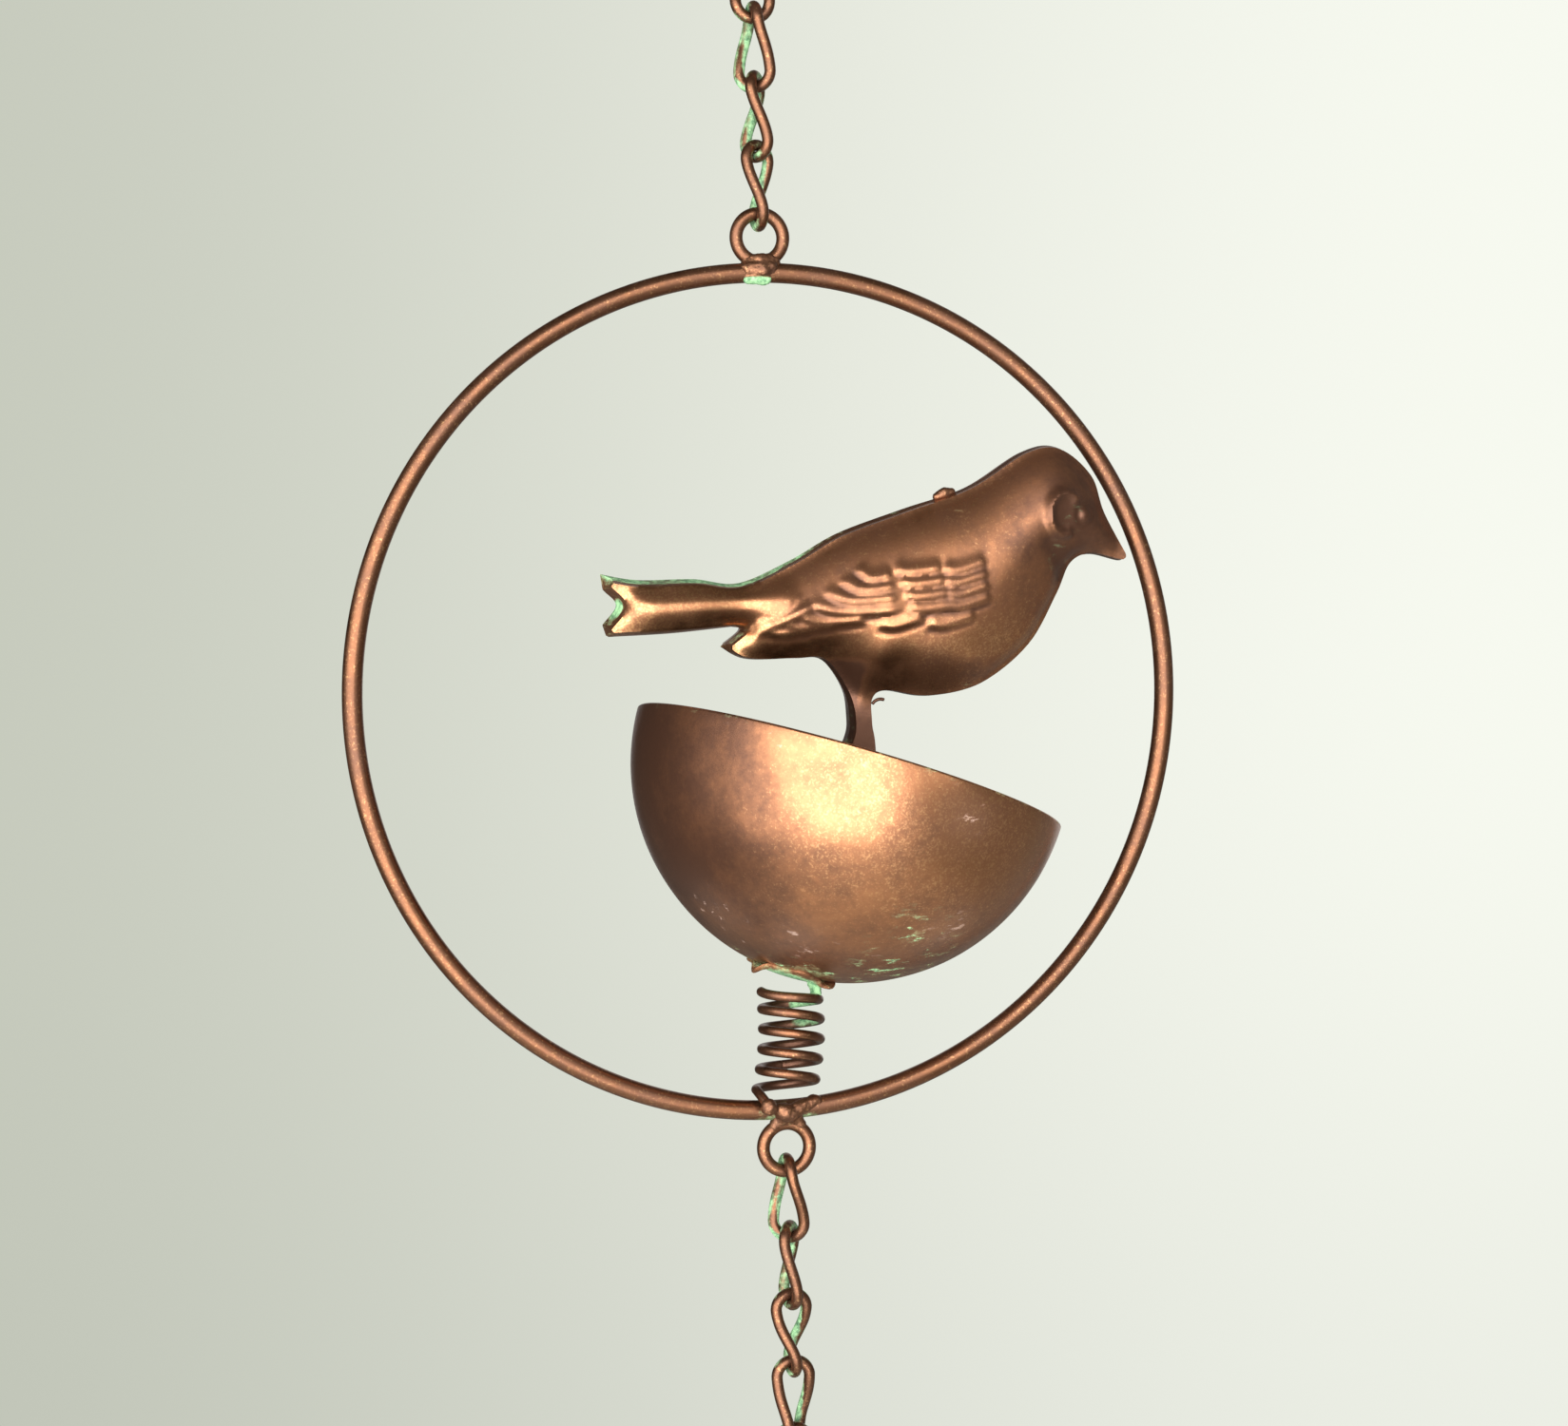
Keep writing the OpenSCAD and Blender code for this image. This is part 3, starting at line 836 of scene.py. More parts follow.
@dataclass
class Welds:
    """The weld beads on the hoop, under the cup and in it."""

    hoop_r: float = 73.25
    cell: float = 0.24
    lump: float = 0.2
    tack_lump: float = 0.08

    def build(self, shop: Workshop) -> None:
        """Makes every bead."""
        low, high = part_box("hoop")
        middle = (low + high) / 2
        top = middle + Vector((0.0, 0.0, self.hoop_r * MM))
        foot = middle - Vector((0.0, 0.0, self.hoop_r * MM))
        beads = [
            Bead(((-4.3, 0.0, 0.1, 1.0), (-3.0, -0.1, 0.6, 1.25), (0.0, -0.4, 1.6, 1.5))),
            Bead(((0.0, -0.4, 1.6, 1.5), (2.6, -0.1, 0.7, 1.25), (4.3, 0.0, 0.1, 1.0))),
            Bead(((-2.2, -0.2, 2.1, 1.2), (0.0, -0.6, 1.7, 1.6), (2.2, -0.2, 2.1, 1.2))),
            Bead(((-2.4, -0.9, 0.6, 1.4), (0.0, -1.2, 0.4, 1.5), (1.6, -0.9, 0.7, 1.3))),
            Bead(((-2.4, -0.7, -0.9, 1.2), (0.6, -0.7, -1.1, 1.2))),
        ]
        self._weld(shop, "top_weld", "ring", beads, top)
        beads = [
            Bead(((-1.4, -1.7, 0.2, 1.3), (-0.4, -1.8, -0.2, 1.6), (0.6, -1.5, -0.5, 1.6))),
            Bead(((-4.0, -4.1, 1.3, 1.5), (-3.6, -2.8, 0.9, 1.1), (-2.4, -1.8, 0.4, 1.0))),
            Bead(((0.6, -1.5, -0.3, 1.5), (2.6, -1.2, 0.5, 1.35), (5.2, -0.8, 1.2, 1.2))),
            Bead(((-1.2, -0.5, -1.6, 1.4), (1.8, -0.5, -1.5, 1.35))),
            Bead(((-1.2, -0.5, -1.6, 1.3), (-2.3, -0.3, -2.9, 1.05))),
            Bead(((1.8, -0.5, -1.5, 1.3), (2.6, -0.3, -2.8, 1.05))),
        ]
        self._weld(shop, "bottom_weld", "ring", beads, foot)
        low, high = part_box("plate_weld")
        beads = [Bead(((0.1, -0.3, -1.5, 0.9), (0.0, 0.1, 0.2, 1.0), (-0.6, 0.3, 0.6, 0.9)))]
        self._weld(shop, "plate_weld", "cup_and_bird", beads, (low + high) / 2)
        low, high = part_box("back_tack")
        beads = [Bead(((-1.3, 0.0, -0.5, 0.8), (0.1, 0.0, 0.1, 1.15), (1.4, 0.0, 0.3, 0.8)))]
        self._weld(shop, "back_tack", "cup_and_bird", beads, (low + high) / 2)
        low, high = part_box("foot_weld")
        spot = Vector(((low.x + high.x) / 2, (low.y + high.y) / 2, low.z))
        beads = [
            Bead(((-1.5, 0.0, 1.4, 1.5), (1.5, 0.0, 1.4, 1.5))),
            Bead(((0.2, -3.1, 1.5, 1.15), (0.0, 0.0, 1.5, 1.3), (-0.2, 3.0, 1.6, 1.2))),
        ]
        self._weld(shop, "foot_weld", "cup_and_bird", beads, spot)

    def _weld(
        self, shop: Workshop, node: str, body: str, beads: Sequence[Bead], origin: Vector
    ) -> None:
        """Makes one weld that stands for its CAD node.

        Args:
            shop: Where pieces are finished.
            node: The node.
            body: The body that the weld rides on.
            beads: The weld's beads, measured from the origin.
            origin: Their origin, in metres.
        """
        lump = self.tack_lump if node == "back_tack" else self.lump
        bm = weld_mesh(beads, origin, lump, self.cell)
        slot = "verdigris_plate" if node == "plate_weld" else "weld_metal"
        finish = Finish.PLATE if node == "plate_weld" else Finish.WELD
        place = Place(body, (node,), slot)
        floor = origin.z / MM
        rule = {
            "top_weld": lambda p, n: 0.18 + 0.6 * smooth_ramp(-0.3, -1.3, p[:, 2] - floor),
            "bottom_weld": lambda p, n: 0.25 + 0.22 * smooth_ramp(-0.6, -2.4, p[:, 2] - floor),
            "plate_weld": lambda p, n: np.full(len(p), 0.9),
            "back_tack": lambda p, n: np.full(len(p), 0.12),
        }.get(node, lambda p, n: 0.25 + 0.3 * smooth_ramp(-0.2, 0.8, n[:, 1]))
        shop.publish(bm, node + "_bead", finish, place, rule)


# ---------------------------------------------------------------- spring


@dataclass
class Spring:
    """Coil spring between the hoop and the cup, in the three stretches that move."""

    wire: float = 1.7
    coil_r: float = 5.1
    turns: float = 5.0
    height: float = 17.7
    lean: float = 1.3
    bow: float = 0.8
    tail_end: tuple = (-4.1, -4.0, -2.0)
    slant: float = 0.07
    nod: float = 0.15
    tail_out: float = 1.7
    tail_in: tuple = (-0.8, 1.4, 1.3)
    steps: int = 44
    tail_steps: int = 20

    def __post_init__(self) -> None:
        """Finds the height of the top coil from the frame."""
        self.top_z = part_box("spring_top")[1].z / MM - self.wire / 2

    def coil(self, turn: float) -> Vector:
        """Point on the coil, some turns down from its top."""
        up = 1 - turn / self.turns
        angle = math.pi + FULL_TURN * turn
        shift = self.lean * up + self.bow * math.sin(math.pi * up)
        rise = self.top_z - self.height * (1 - up)
        across, away = self.coil_r * math.cos(angle), self.coil_r * math.sin(angle)
        rise -= self.slant * across * smoothstep(0.0, 0.5, turn)
        rise -= self.nod * away * smoothstep(0.0, 1.0, turn)
        return Vector((across + shift, away, rise))

    def tail(self, share: float) -> Vector:
        """Point on the tail, from the lowest coil to its cut end."""
        a = self.coil(self.turns)
        d = Vector((0.0, a.y, a.z)) + Vector(self.tail_end)
        b = a + Vector((0.0, -self.tail_out, -0.3))
        c = d + Vector(self.tail_in)
        rest = 1 - share
        return rest**3 * a + 3 * share * rest**2 * b + 3 * share**2 * rest * c + share**3 * d

    def stretch(self, start: float, end: float) -> list[Vector]:
        """Points of the coil between two turns."""
        count = round((end - start) * self.steps)
        return [self.coil(mix(start, end, index / count)) for index in range(count + 1)]

    def build(self, shop: Workshop) -> None:
        """Makes the three stretches in place, none of them put on a body."""
        count = self.tail_steps
        tail = [self.tail(index / count) for index in range(1, count + 1)]
        parts = (
            ("spring_top", self.stretch(0.0, 2.5), "coil_high", "cup_and_bird"),
            ("spring_middle", self.stretch(2.5, 3.75), "coil_low", "coil_high"),
            ("spring_foot", self.stretch(3.75, self.turns), "ring", "coil_low"),
        )
        for name, points, low_body, high_body in parts:
            if name == "spring_foot":
                points = points + tail
            bm = bmesh.new()
            upward = [Vector((0.0, 0.0, 1.0))] * len(points)
            sweep(bm, [point * MM for point in points], upward, self.wire / 2 * MM, 18, 0.1)
            place = Place(low_body, (name,), "spring_wire")
            piece = shop.publish(
                bm, name + "_wire", Finish.COIL, place, self.patina, self.shade, ride=False
            )
            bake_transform(piece)

    def patina(self, places: np.ndarray, normals: np.ndarray) -> np.ndarray:
        """Thin green all over, and thick green inside the upper turns on the right."""
        shift = self.lean * 0.5 + self.bow
        out = places[:, :2] - np.array([shift, 0.0])
        radius = np.maximum(np.linalg.norm(out, axis=1), 1e-6)
        inward = -(out * normals[:, :2]).sum(axis=1) / radius
        inner = smooth_ramp(-0.1, 0.6, inward)
        high = smooth_ramp(9.0, 3.0, self.top_z - places[:, 2])
        right = smooth_ramp(1.5, 4.5, places[:, 0]) * high
        return np.clip(0.26 + 0.12 * inner + 0.75 * inner * right, 0.0, 1.0)

    def shade(self, places: np.ndarray, normals: np.ndarray) -> np.ndarray:
        """Painted shade on the wire at the back of the coil."""
        return 0.9 * smooth_ramp(-0.5, 3.0, places[:, 1])


# ---------------------------------------------------------------- cup and plate


@dataclass
class Cup:
    """Spun bowl, tilted to the right, with the petalled spring plate under it."""

    radius: float = 39.0
    depth: float = 38.2
    wall: float = 0.9
    tilt: float = 19.3
    lean: float = 3.7
    spin_steps: int = 192
    arc_steps: int = 56
    plate_t: float = 0.8
    plate_r: float = 8.6
    petals: int = 6
    petal_r: float = 2.6
    plate_heart: float = 0.06
    plate_rings: int = 16
    plate_steps: int = 144
    # Each lip's direction and half width in degrees, and how far it is bent down
    lips: tuple = ((196.0, 20.0, 1.9), (318.0, 13.0, 1.1))
    # Places from the bowl's centre, each with its radius
    scuffs: tuple = ((-28, -13, -24, 7), (-16, -21, -29, 6), (10, -37, -8, 5), (9, -26, -28, 6))
    drips: tuple = ((-11, -15, -34, 5), (-2, -18, -35, 5), (3, -27, -28, 5))

    def __post_init__(self) -> None:
        """Finds the bowl's centre from the frame and sets its turn."""
        low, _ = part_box("cup")
        self.centre = low + Vector((self.radius, self.radius, self.radius)) * MM
        turn = Matrix.Rotation(math.radians(self.tilt), 4, "Y")
        self.turn = turn @ Matrix.Rotation(math.radians(-self.lean), 4, "X")
        self.place = Matrix.Translation(self.centre) @ self.turn

    def profile(self) -> list[Vector]:
        """Section of the bowl, from its outer pole over the rim to its inner pole."""
        rim = self.depth - self.radius
        inner = self.radius - self.wall
        middle_r = self.radius - self.wall / 2
        stop = math.acos(-rim / middle_r) - (self.wall / 2) / middle_r
        angles = [stop * index / self.arc_steps for index in range(self.arc_steps + 1)]
        points = [self.radius * Vector((math.sin(a), 0.0, -math.cos(a))) for a in angles]
        heart = Vector((middle_r * math.sin(stop), 0.0, -middle_r * math.cos(stop)))
        out = heart.normalized()
        up = Vector((-out.z, 0.0, out.x))
        for index in range(1, 8):
            turn = math.pi * index / 8
            points.append(heart + self.wall / 2 * (out * math.cos(turn) + up * math.sin(turn)))
        points += [inner * Vector((math.sin(a), 0.0, -math.cos(a))) for a in reversed(angles)]
        return points

    def build(self, shop: Workshop) -> None:
        """Makes the bowl and its plate."""
        bm = bmesh.new()
        verts = [bm.verts.new(point * MM) for point in self.profile()]
        edges = [bm.edges.new(pair) for pair in zip(verts, verts[1:])]
        bmesh.ops.spin(
            bm,
            geom=verts + edges,
            cent=(0.0, 0.0, 0.0),
            axis=(0.0, 0.0, 1.0),
            angle=FULL_TURN,
            steps=self.spin_steps,
            use_merge=True,
            use_duplicate=False,
        )
        bmesh.ops.remove_doubles(bm, verts=bm.verts[:], dist=0.02 * MM)
        self._dent(bm)
        bmesh.ops.transform(bm, matrix=self.place, verts=bm.verts[:])
        place = Place("cup_and_bird", ("cup",), "copper_sheet")
        shop.publish(bm, "cup_bowl", Finish.CUP, place, self.patina, self.shade, self.scuff)
        self._plate(shop)

    @staticmethod
    def _dent(bm: bmesh.types.BMesh) -> None:
        """Pushes the bowl in by the few tenths that hand work leaves."""
        for vert in bm.verts:
            spot = vert.co / MM
            wave = noise.noise(spot * 0.055) + 0.4 * noise.noise(spot * 0.14)
            vert.co *= 1 - 0.0035 * (0.5 + 0.5 * wave)

    def _petal_reach(self, turn: float) -> float:
        """Radius of the plate's edge in one direction."""
        step = FULL_TURN / self.petals
        off = (turn / step) % 1.0 - 0.5
        hub = self.plate_r - self.petal_r
        side = hub * math.sin(off * step)
        reach = hub * math.cos(off * step) + math.sqrt(max(self.petal_r**2 - side**2, 0.0))
        return max(reach if abs(side) < self.petal_r else 0.0, self.plate_r - self.petal_r / 2)

    def _plate(self, shop: Workshop) -> None:
        """Makes the petalled plate, two of its petals bent away from the bowl."""
        bm = bmesh.new()
        made = bmesh.ops.create_circle(bm, segments=self.plate_steps, radius=1.0)
        ring = edges_of(made["verts"])
        self._set_plate_ring(made["verts"], self.plate_heart)
        bmesh.ops.contextual_create(bm, geom=ring)
        for index in range(1, self.plate_rings + 1):
            verts, ring = grow_ring(bm, ring)
            self._set_plate_ring(verts, mix(self.plate_heart, 1.0, index / self.plate_rings))
        bmesh.ops.recalc_face_normals(bm, faces=bm.faces[:])
        bmesh.ops.solidify(bm, geom=bm.faces[:], thickness=self.plate_t * 0.9 * MM)
        relax(bm, bm.verts[:], 4)
        bmesh.ops.transform(bm, matrix=self.place, verts=bm.verts[:])
        place = Place("cup_and_bird", ("spring_plate",), "verdigris_plate")
        shop.publish(bm, "petal_plate", Finish.PLATE, place, self.plate_patina)

    def _set_plate_ring(self, verts: Sequence[bmesh.types.BMVert], share: float) -> None:
        """Moves a ring of points to its place on the plate.

        Args:
            verts: The ring's points.
            share: How far out the ring lies, from the middle to the edge.
        """
        for vert in verts:
            turn = math.atan2(vert.co.y, vert.co.x)
            reach = self._petal_reach(turn) * share
            lift = 0.0
            outer = smoothstep(0.62, 1.0, share)
            for middle, half, bend in self.lips:
                off = abs((math.degrees(turn) - middle + 180) % 360 - 180)
                lift += bend * smoothstep(half * 1.4, half * 0.4, off) * outer
            ball = self.radius + self.plate_t * 0.55 + lift
            drop = math.sqrt(ball**2 - reach**2)
            vert.co = Vector((reach * math.cos(turn), reach * math.sin(turn), -drop)) * MM

    def _local(self, places: np.ndarray) -> np.ndarray:
        """Places measured from the bowl's centre along the bowl's own axes."""
        turn = np.array(self.turn.to_3x3().inverted())
        return (places - np.array(self.centre / MM)) @ turn.T

    def _outside(self, spot: np.ndarray, normals: np.ndarray) -> np.ndarray:
        """Which places face away from the bowl's inside."""
        return (spot * (normals @ np.array(self.turn.to_3x3()))).sum(axis=1) > 0

    def patina(self, places: np.ndarray, normals: np.ndarray) -> np.ndarray:
        """Green round the plate, in streaks up the right, and pooled inside."""
        spot = self._local(places)
        height = spot[:, 2] + self.radius
        around = np.hypot(spot[:, 0], spot[:, 1])
        near = smooth_ramp(17.0, 8.0, around) * smooth_ramp(14.0, 2.0, height)
        right = smooth_ramp(4.0, 16.0, places[:, 0]) * smooth_ramp(22.0, 6.0, height)
        rim = smooth_ramp(self.depth - 1.2, self.depth - 0.1, height) * 0.25
        low = smooth_ramp(26.0, 4.0, height)
        green = 0.42 * near + 0.30 * right + rim + 0.28 * self._marks(places, self.drips)
        return np.where(self._outside(spot, normals), green, 0.10 + 0.35 * low)

    def _marks(self, places: np.ndarray, marks: tuple) -> np.ndarray:
        """Soft round patches, each given by its place from the bowl's centre and its radius."""
        spot = places - np.array(self.centre / MM)
        found = np.zeros(len(places))
        for x, y, z, radius in marks:
            gap = np.linalg.norm(spot - np.array((x, y, z)), axis=1)
            found = np.maximum(found, np.exp(-((gap / radius) ** 2)))
        return found

    def scuff(self, places: np.ndarray, normals: np.ndarray) -> np.ndarray:
        """Pale scuffs where the bowl has been knocked."""
        return self._marks(places, self.scuffs)

    def shade(self, places: np.ndarray, normals: np.ndarray) -> np.ndarray:
        """Painted shade on the left of the bowl and inside it, darker towards the bottom outside,
        and the outside a little lighter overall.
        """
        spot = self._local(places)
        # Painted shade: the left side and the inside are darkened; the outside is also darker
        # towards the bottom.
        left = smooth_ramp(-8.0, -38.0, spot[:, 0])
        low = smooth_ramp(26.0, 4.0, spot[:, 2] + self.radius)
        return np.where(self._outside(spot, normals), 0.55 * left + 0.25 * low - 0.15, 0.7)

    def plate_patina(self, places: np.ndarray, normals: np.ndarray) -> np.ndarray:
        """Green all over but for the brown bent lips."""
        spot = self._local(places)
        around = np.hypot(spot[:, 0], spot[:, 1])
        bare = smooth_ramp(0.3, 1.2, np.linalg.norm(spot, axis=1) - self.radius - 0.9)
        return np.clip(0.45 + 0.3 * smooth_ramp(9.0, 4.0, around) - 0.6 * bare, 0.0, 1.0)


# ---------------------------------------------------------------- bird


def spline(stops: Sequence[tuple], steps: int) -> list[tuple]:
    """Smooth run through a list of points, without its last point.

    Args:
        stops: The points.
        steps: Steps between two of them.

    Returns:
        Points on a Catmull-Rom curve.
    """
    pts = np.array(stops, float)
    last = len(pts) - 1
    found = []
    for index in range(last):
        a, b = pts[max(index - 1, 0)], pts[index]
        c, d = pts[index + 1], pts[min(index + 2, last)]
        for step in range(steps):
            t = step / steps
            curve = 2 * b + (c - a) * t + (2 * a - 5 * b + 4 * c - d) * t**2
            found.append(tuple(0.5 * (curve + (3 * b - a - 3 * c + d) * t**3)))
    return found


@dataclass(frozen=True)
class Ridge:
    """A raised line on the bird's face: a crest with a gentle slope above and a step below."""

    stops: tuple
    height: float = 0.5
    above: float = 1.3
    below: float = 0.7
    groove: float = 0.35
    groove_off: float = 1.2
    groove_width: float = 0.45
    start_taper: float = 0.22
    end_taper: float = 0.14
    steps: int = 24

    def lift(self, spots: np.ndarray) -> tuple[np.ndarray, np.ndarray]:
        """How far the crest stands over each spot, and how deep its groove is there."""
        line = np.array(spline(self.stops, self.steps) + [self.stops[-1]])
        rel = spots[:, None, :] - line[None, :, :]
        gaps = np.linalg.norm(rel, axis=2)
        nearest = gaps.argmin(axis=1)
        gap = gaps[np.arange(len(spots)), nearest]
        over = rel[np.arange(len(spots)), nearest, 1]
        width = np.where(over > 0, self.above, self.below)
        share = nearest / (len(line) - 1)
        ends = smooth_ramp(0.0, self.start_taper, share)
        taper = ends * smooth_ramp(1.0, 1.0 - self.end_taper, share)
        crest = np.exp(-((gap / width) ** 2)) * taper
        under = np.exp(-(((gap - self.groove_off) / self.groove_width) ** 2))
        under *= (over < 0) * taper
        return self.height * crest, self.groove * under


@dataclass(frozen=True)
class Feathers:
    """Feathers one under another on the wing, each a raised line that may curl up at an end."""

    count: int
    back: float
    front: float
    top: float
    drop: float = 0.0
    step_back: float = 0.0
    step_front: float = 0.0
    curl_back: float = 0.5
    curl_front: float = 0.5

    def ridges(self) -> list[Ridge]:
        """The raised lines, from the top one down."""
        found = []
        for row in range(self.count):
            back = self.back + row * self.step_back
            front = self.front + row * self.step_front
            height = self.top - row * self.drop
            low = mix(back, front, 0.35)
            start, end = (back, height + self.curl_back), (front, height + self.curl_front)
            found.append(Ridge((start, (low, height), end)))
        return found


@dataclass
class Bird:
    """Bird stamped in two halves, standing on its stake in the cup."""

    edge: float = 3.2
    thin_edge: float = 1.1
    half_depth: float = 10.0
    reach: float = 18.0
    lean: float = 4.0
    stake_gap: float = 0.3
    cell: float = 0.45
    rim_inset: float = 1.25
    seam: float = 0.05
    back: tuple = (
        (-46.5, 72.4), (-40, 71.2), (-30, 71.1), (-22, 70.2), (-12.5, 74), (-4, 78.5), (8, 82.5),
        (20, 86.2), (30.5, 92.3), (37, 92.9), (43, 88), (45.5, 81.3), (49.8, 73.6),
    )
    breast: tuple = (
        (49.8, 73.6), (48.8, 72.4), (43, 73.7), (39, 72.2), (36.4, 66.8), (31, 57.8), (22, 51.1),
        (12, 49.2), (4.5, 50.4), (1.7, 49.2), (1.5, 45), (2.2, 38), (2.2, 10), (1.5, 0),
    )
    stake: tuple = ((1.5, 0), (-1.5, 0), (-2, 10), (-2.4, 37))
    claw: tuple = (
        (-2.4, 37), (-4.4, 38.6), (-2.6, 41.8), (-2, 45), (-3, 50.5), (-7, 56.2), (-12, 56.7),
        (-21, 56.9), (-25.4, 59.2),
    )
    notch: tuple = ((-25.4, 59.2), (-21.8, 62), (-23.4, 62.6))
    tail: tuple = ((-23.4, 62.6), (-34, 61.8), (-45.2, 61.5))
    tail_end: tuple = (
        (-45.2, 61.5), (-46.6, 63), (-43.8, 66.8), (-45.7, 69.3), (-47.5, 71), (-47.5, 72),
        (-46.5, 72.4),
    )
    wing: tuple = (
        Feathers(4, 12.5, 20.5, 72.0, drop=2.1, step_front=0.3, curl_front=1.5),
        Feathers(4, 4.0, 12.5, 72.0, drop=2.2, step_back=0.7, step_front=0.6),
        Feathers(4, -2.5, 3.5, 71.0, drop=2.0, step_back=-3.0, step_front=0.6, curl_back=2.0),
        Feathers(3, -14.5, -1.0, 63.2, drop=0.8, step_back=-3.0, step_front=-4.5, curl_back=2.8),
        Feathers(2, 9.5, 18.5, 62.5, step_back=-8.5, step_front=-9.5, curl_front=1.5),
    )
    strakes: tuple = (
        Ridge(((-10, 67), (-17, 63.5), (-24, 60.5)), 0.75, 0.8, 1.5, 0.2),
        Ridge(((-47, 66.8), (-30, 67), (-12, 68.5)), 0.8, 2.6, 3.0, 0.0),
    )
    neck: Ridge = Ridge(((31.5, 77.5), (35.0, 73.5), (37.2, 69.0)), 0.45, 1.6, 1.6, 0.0)
    mouth: Ridge = Ridge(((42.5, 76.4), (46.0, 75.0), (49.0, 73.4)), 0.22, 0.5, 0.5, 0.0)
    cheek: tuple = (35.8, 81.4)
    cheek_r: tuple = (3.2, 3.7)
    eye: tuple = (40.3, 81.1)
    face_passes: int = 45
    # Share of the wall's draft and drop below its rim, at each ring down to the seam
    wall_rings: tuple = ((0.88, -0.28), (0.66, -0.75), (0.45, -1.5))
    weld_drop: float = 0.66
    whisker: tuple = (3.1, 47.4)
    whisker_bend: float = 1.7
    whisker_r: float = 0.3
    # Strength of each green spot on the face, its middle and its two half widths
    green_spots: tuple = (
        (0.32, 18.0, 50.6, 6.0, 1.3),
        (0.30, 15.5, 82.0, 3.0, 2.2),
        (0.40, 35.2, 73.0, 2.0, 4.2),
        (0.30, 38.0, 81.0, 2.6, 2.6),
    )

    def __post_init__(self) -> None:
        """Finds the stake's foot from the frame and draws the outline."""
        low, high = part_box("foot_weld")
        middle = (low + high) / 2
        self.foot = Vector((middle.x, middle.y, low.z + self.weld_drop * MM))
        stretches = (self.back, self.breast, self.claw, self.notch, self.tail, self.tail_end)
        runs = [spline(stretch, 8) for stretch in stretches]
        runs.insert(2, list(self.stake[:-1]))
        self.outline = np.array([spot for run in runs for spot in run])
        starts = [stretch[0] for stretch in stretches]
        self.corners = np.array(starts + list(self.stake[:2]))

    def to_edge(self, spots: np.ndarray) -> tuple[np.ndarray, np.ndarray, np.ndarray]:
        """Nearest points on the outline.

        Args:
            spots: Places on the face, n by 2.

        Returns:
            Distance, nearest point, and whether each place is inside.
        """
        start = self.outline
        span = np.roll(start, -1, axis=0) - start
        square = np.maximum((span**2).sum(axis=1), 1e-9)
        gaps, nearest, inside = [], [], []
        for block in np.array_split(spots, max(1, len(spots) // 4000)):
            rel = block[:, None, :] - start[None]
            share = np.clip((rel * span[None]).sum(axis=2) / square, 0.0, 1.0)
            away = rel - share[..., None] * span[None]
            gap = np.linalg.norm(away, axis=2)
            best = gap.argmin(axis=1)
            rows = np.arange(len(block))
            gaps.append(gap[rows, best])
            nearest.append(block - away[rows, best])
            low = np.minimum(start[:, 1], start[:, 1] + span[:, 1])[None]
            high = np.maximum(start[:, 1], start[:, 1] + span[:, 1])[None]
            z = block[:, 1:2]
            slope = span[:, 0] / np.where(np.abs(span[:, 1]) < 1e-9, 1e-9, span[:, 1])
            cross = start[:, 0][None] + (z - start[:, 1][None]) * slope[None]
            hits = (z >= low) & (z < high) & (cross > block[:, 0:1])
            inside.append(hits.sum(axis=1) % 2 == 1)
        return np.concatenate(gaps), np.concatenate(nearest), np.concatenate(inside)

    @staticmethod
    def draft(spots: np.ndarray) -> np.ndarray:
        """Share of the full draft that the wall has: most on the tail, little at the head."""
        x, z = spots[:, 0], spots[:, 1]
        back = 0.18 * smooth_ramp(24.0, 4.0, x) * smooth_ramp(58.0, 64.0, z)
        return 0.24 + back + 0.40 * smooth_ramp(-14.0, -38.0, x)

    def snap(self, spots: np.ndarray, inset: float) -> np.ndarray:
        """Moves places to a distance inside the outline."""
        gap, near, inside = self.to_edge(spots)
        away = (spots - near) / np.maximum(gap, 1e-6)[:, None]
        away[~inside] *= -1
        return near + away * (inset * self.draft(spots))[:, None]

    @staticmethod
    def fullness(spots: np.ndarray) -> np.ndarray:
        """How round the body is: 0 on the flat tail and leg, 1 over head, breast and belly."""
        return smooth_ramp(-26.0, 0.0, spots[:, 0]) * smooth_ramp(46.0, 54.0, spots[:, 1])

    def rim_height(self, spots: np.ndarray) -> np.ndarray:
        """Height of the wall over the seam, low where the body is round."""
        return self.edge + (self.thin_edge - self.edge) * self.fullness(spots)

    def dome(self, spots: np.ndarray, gap: np.ndarray) -> np.ndarray:
        """Height of the bare face over the seam."""
        t = np.minimum(gap / self.reach, 1.0)
        bowed = t * (2 - t)
        share = bowed + (np.sqrt(bowed) - bowed) * 0.55 * self.fullness(spots)
        body = smooth_ramp(43.0, 56.0, spots[:, 1])
        rim = self.rim_height(spots)
        return rim + (self.half_depth - rim) * share * body

    def relief(self, spots: np.ndarray) -> tuple[np.ndarray, np.ndarray]:
        """Height of the feathers, cheek and eye on the face, and dirt and painted shade in their
        grooves.
        """
        crest = np.zeros(len(spots))
        hollows = np.zeros(len(spots))
        feathers = [ridge for group in self.wing for ridge in group.ridges()]
        for ridge in (*feathers, *self.strakes):
            rise, under = ridge.lift(spots)
            crest = np.maximum(crest, rise)
            hollows = np.maximum(hollows, under)
        hollows *= 1.0 - np.minimum(crest / 0.5, 1.0)
        lift = crest - 0.5 * hollows
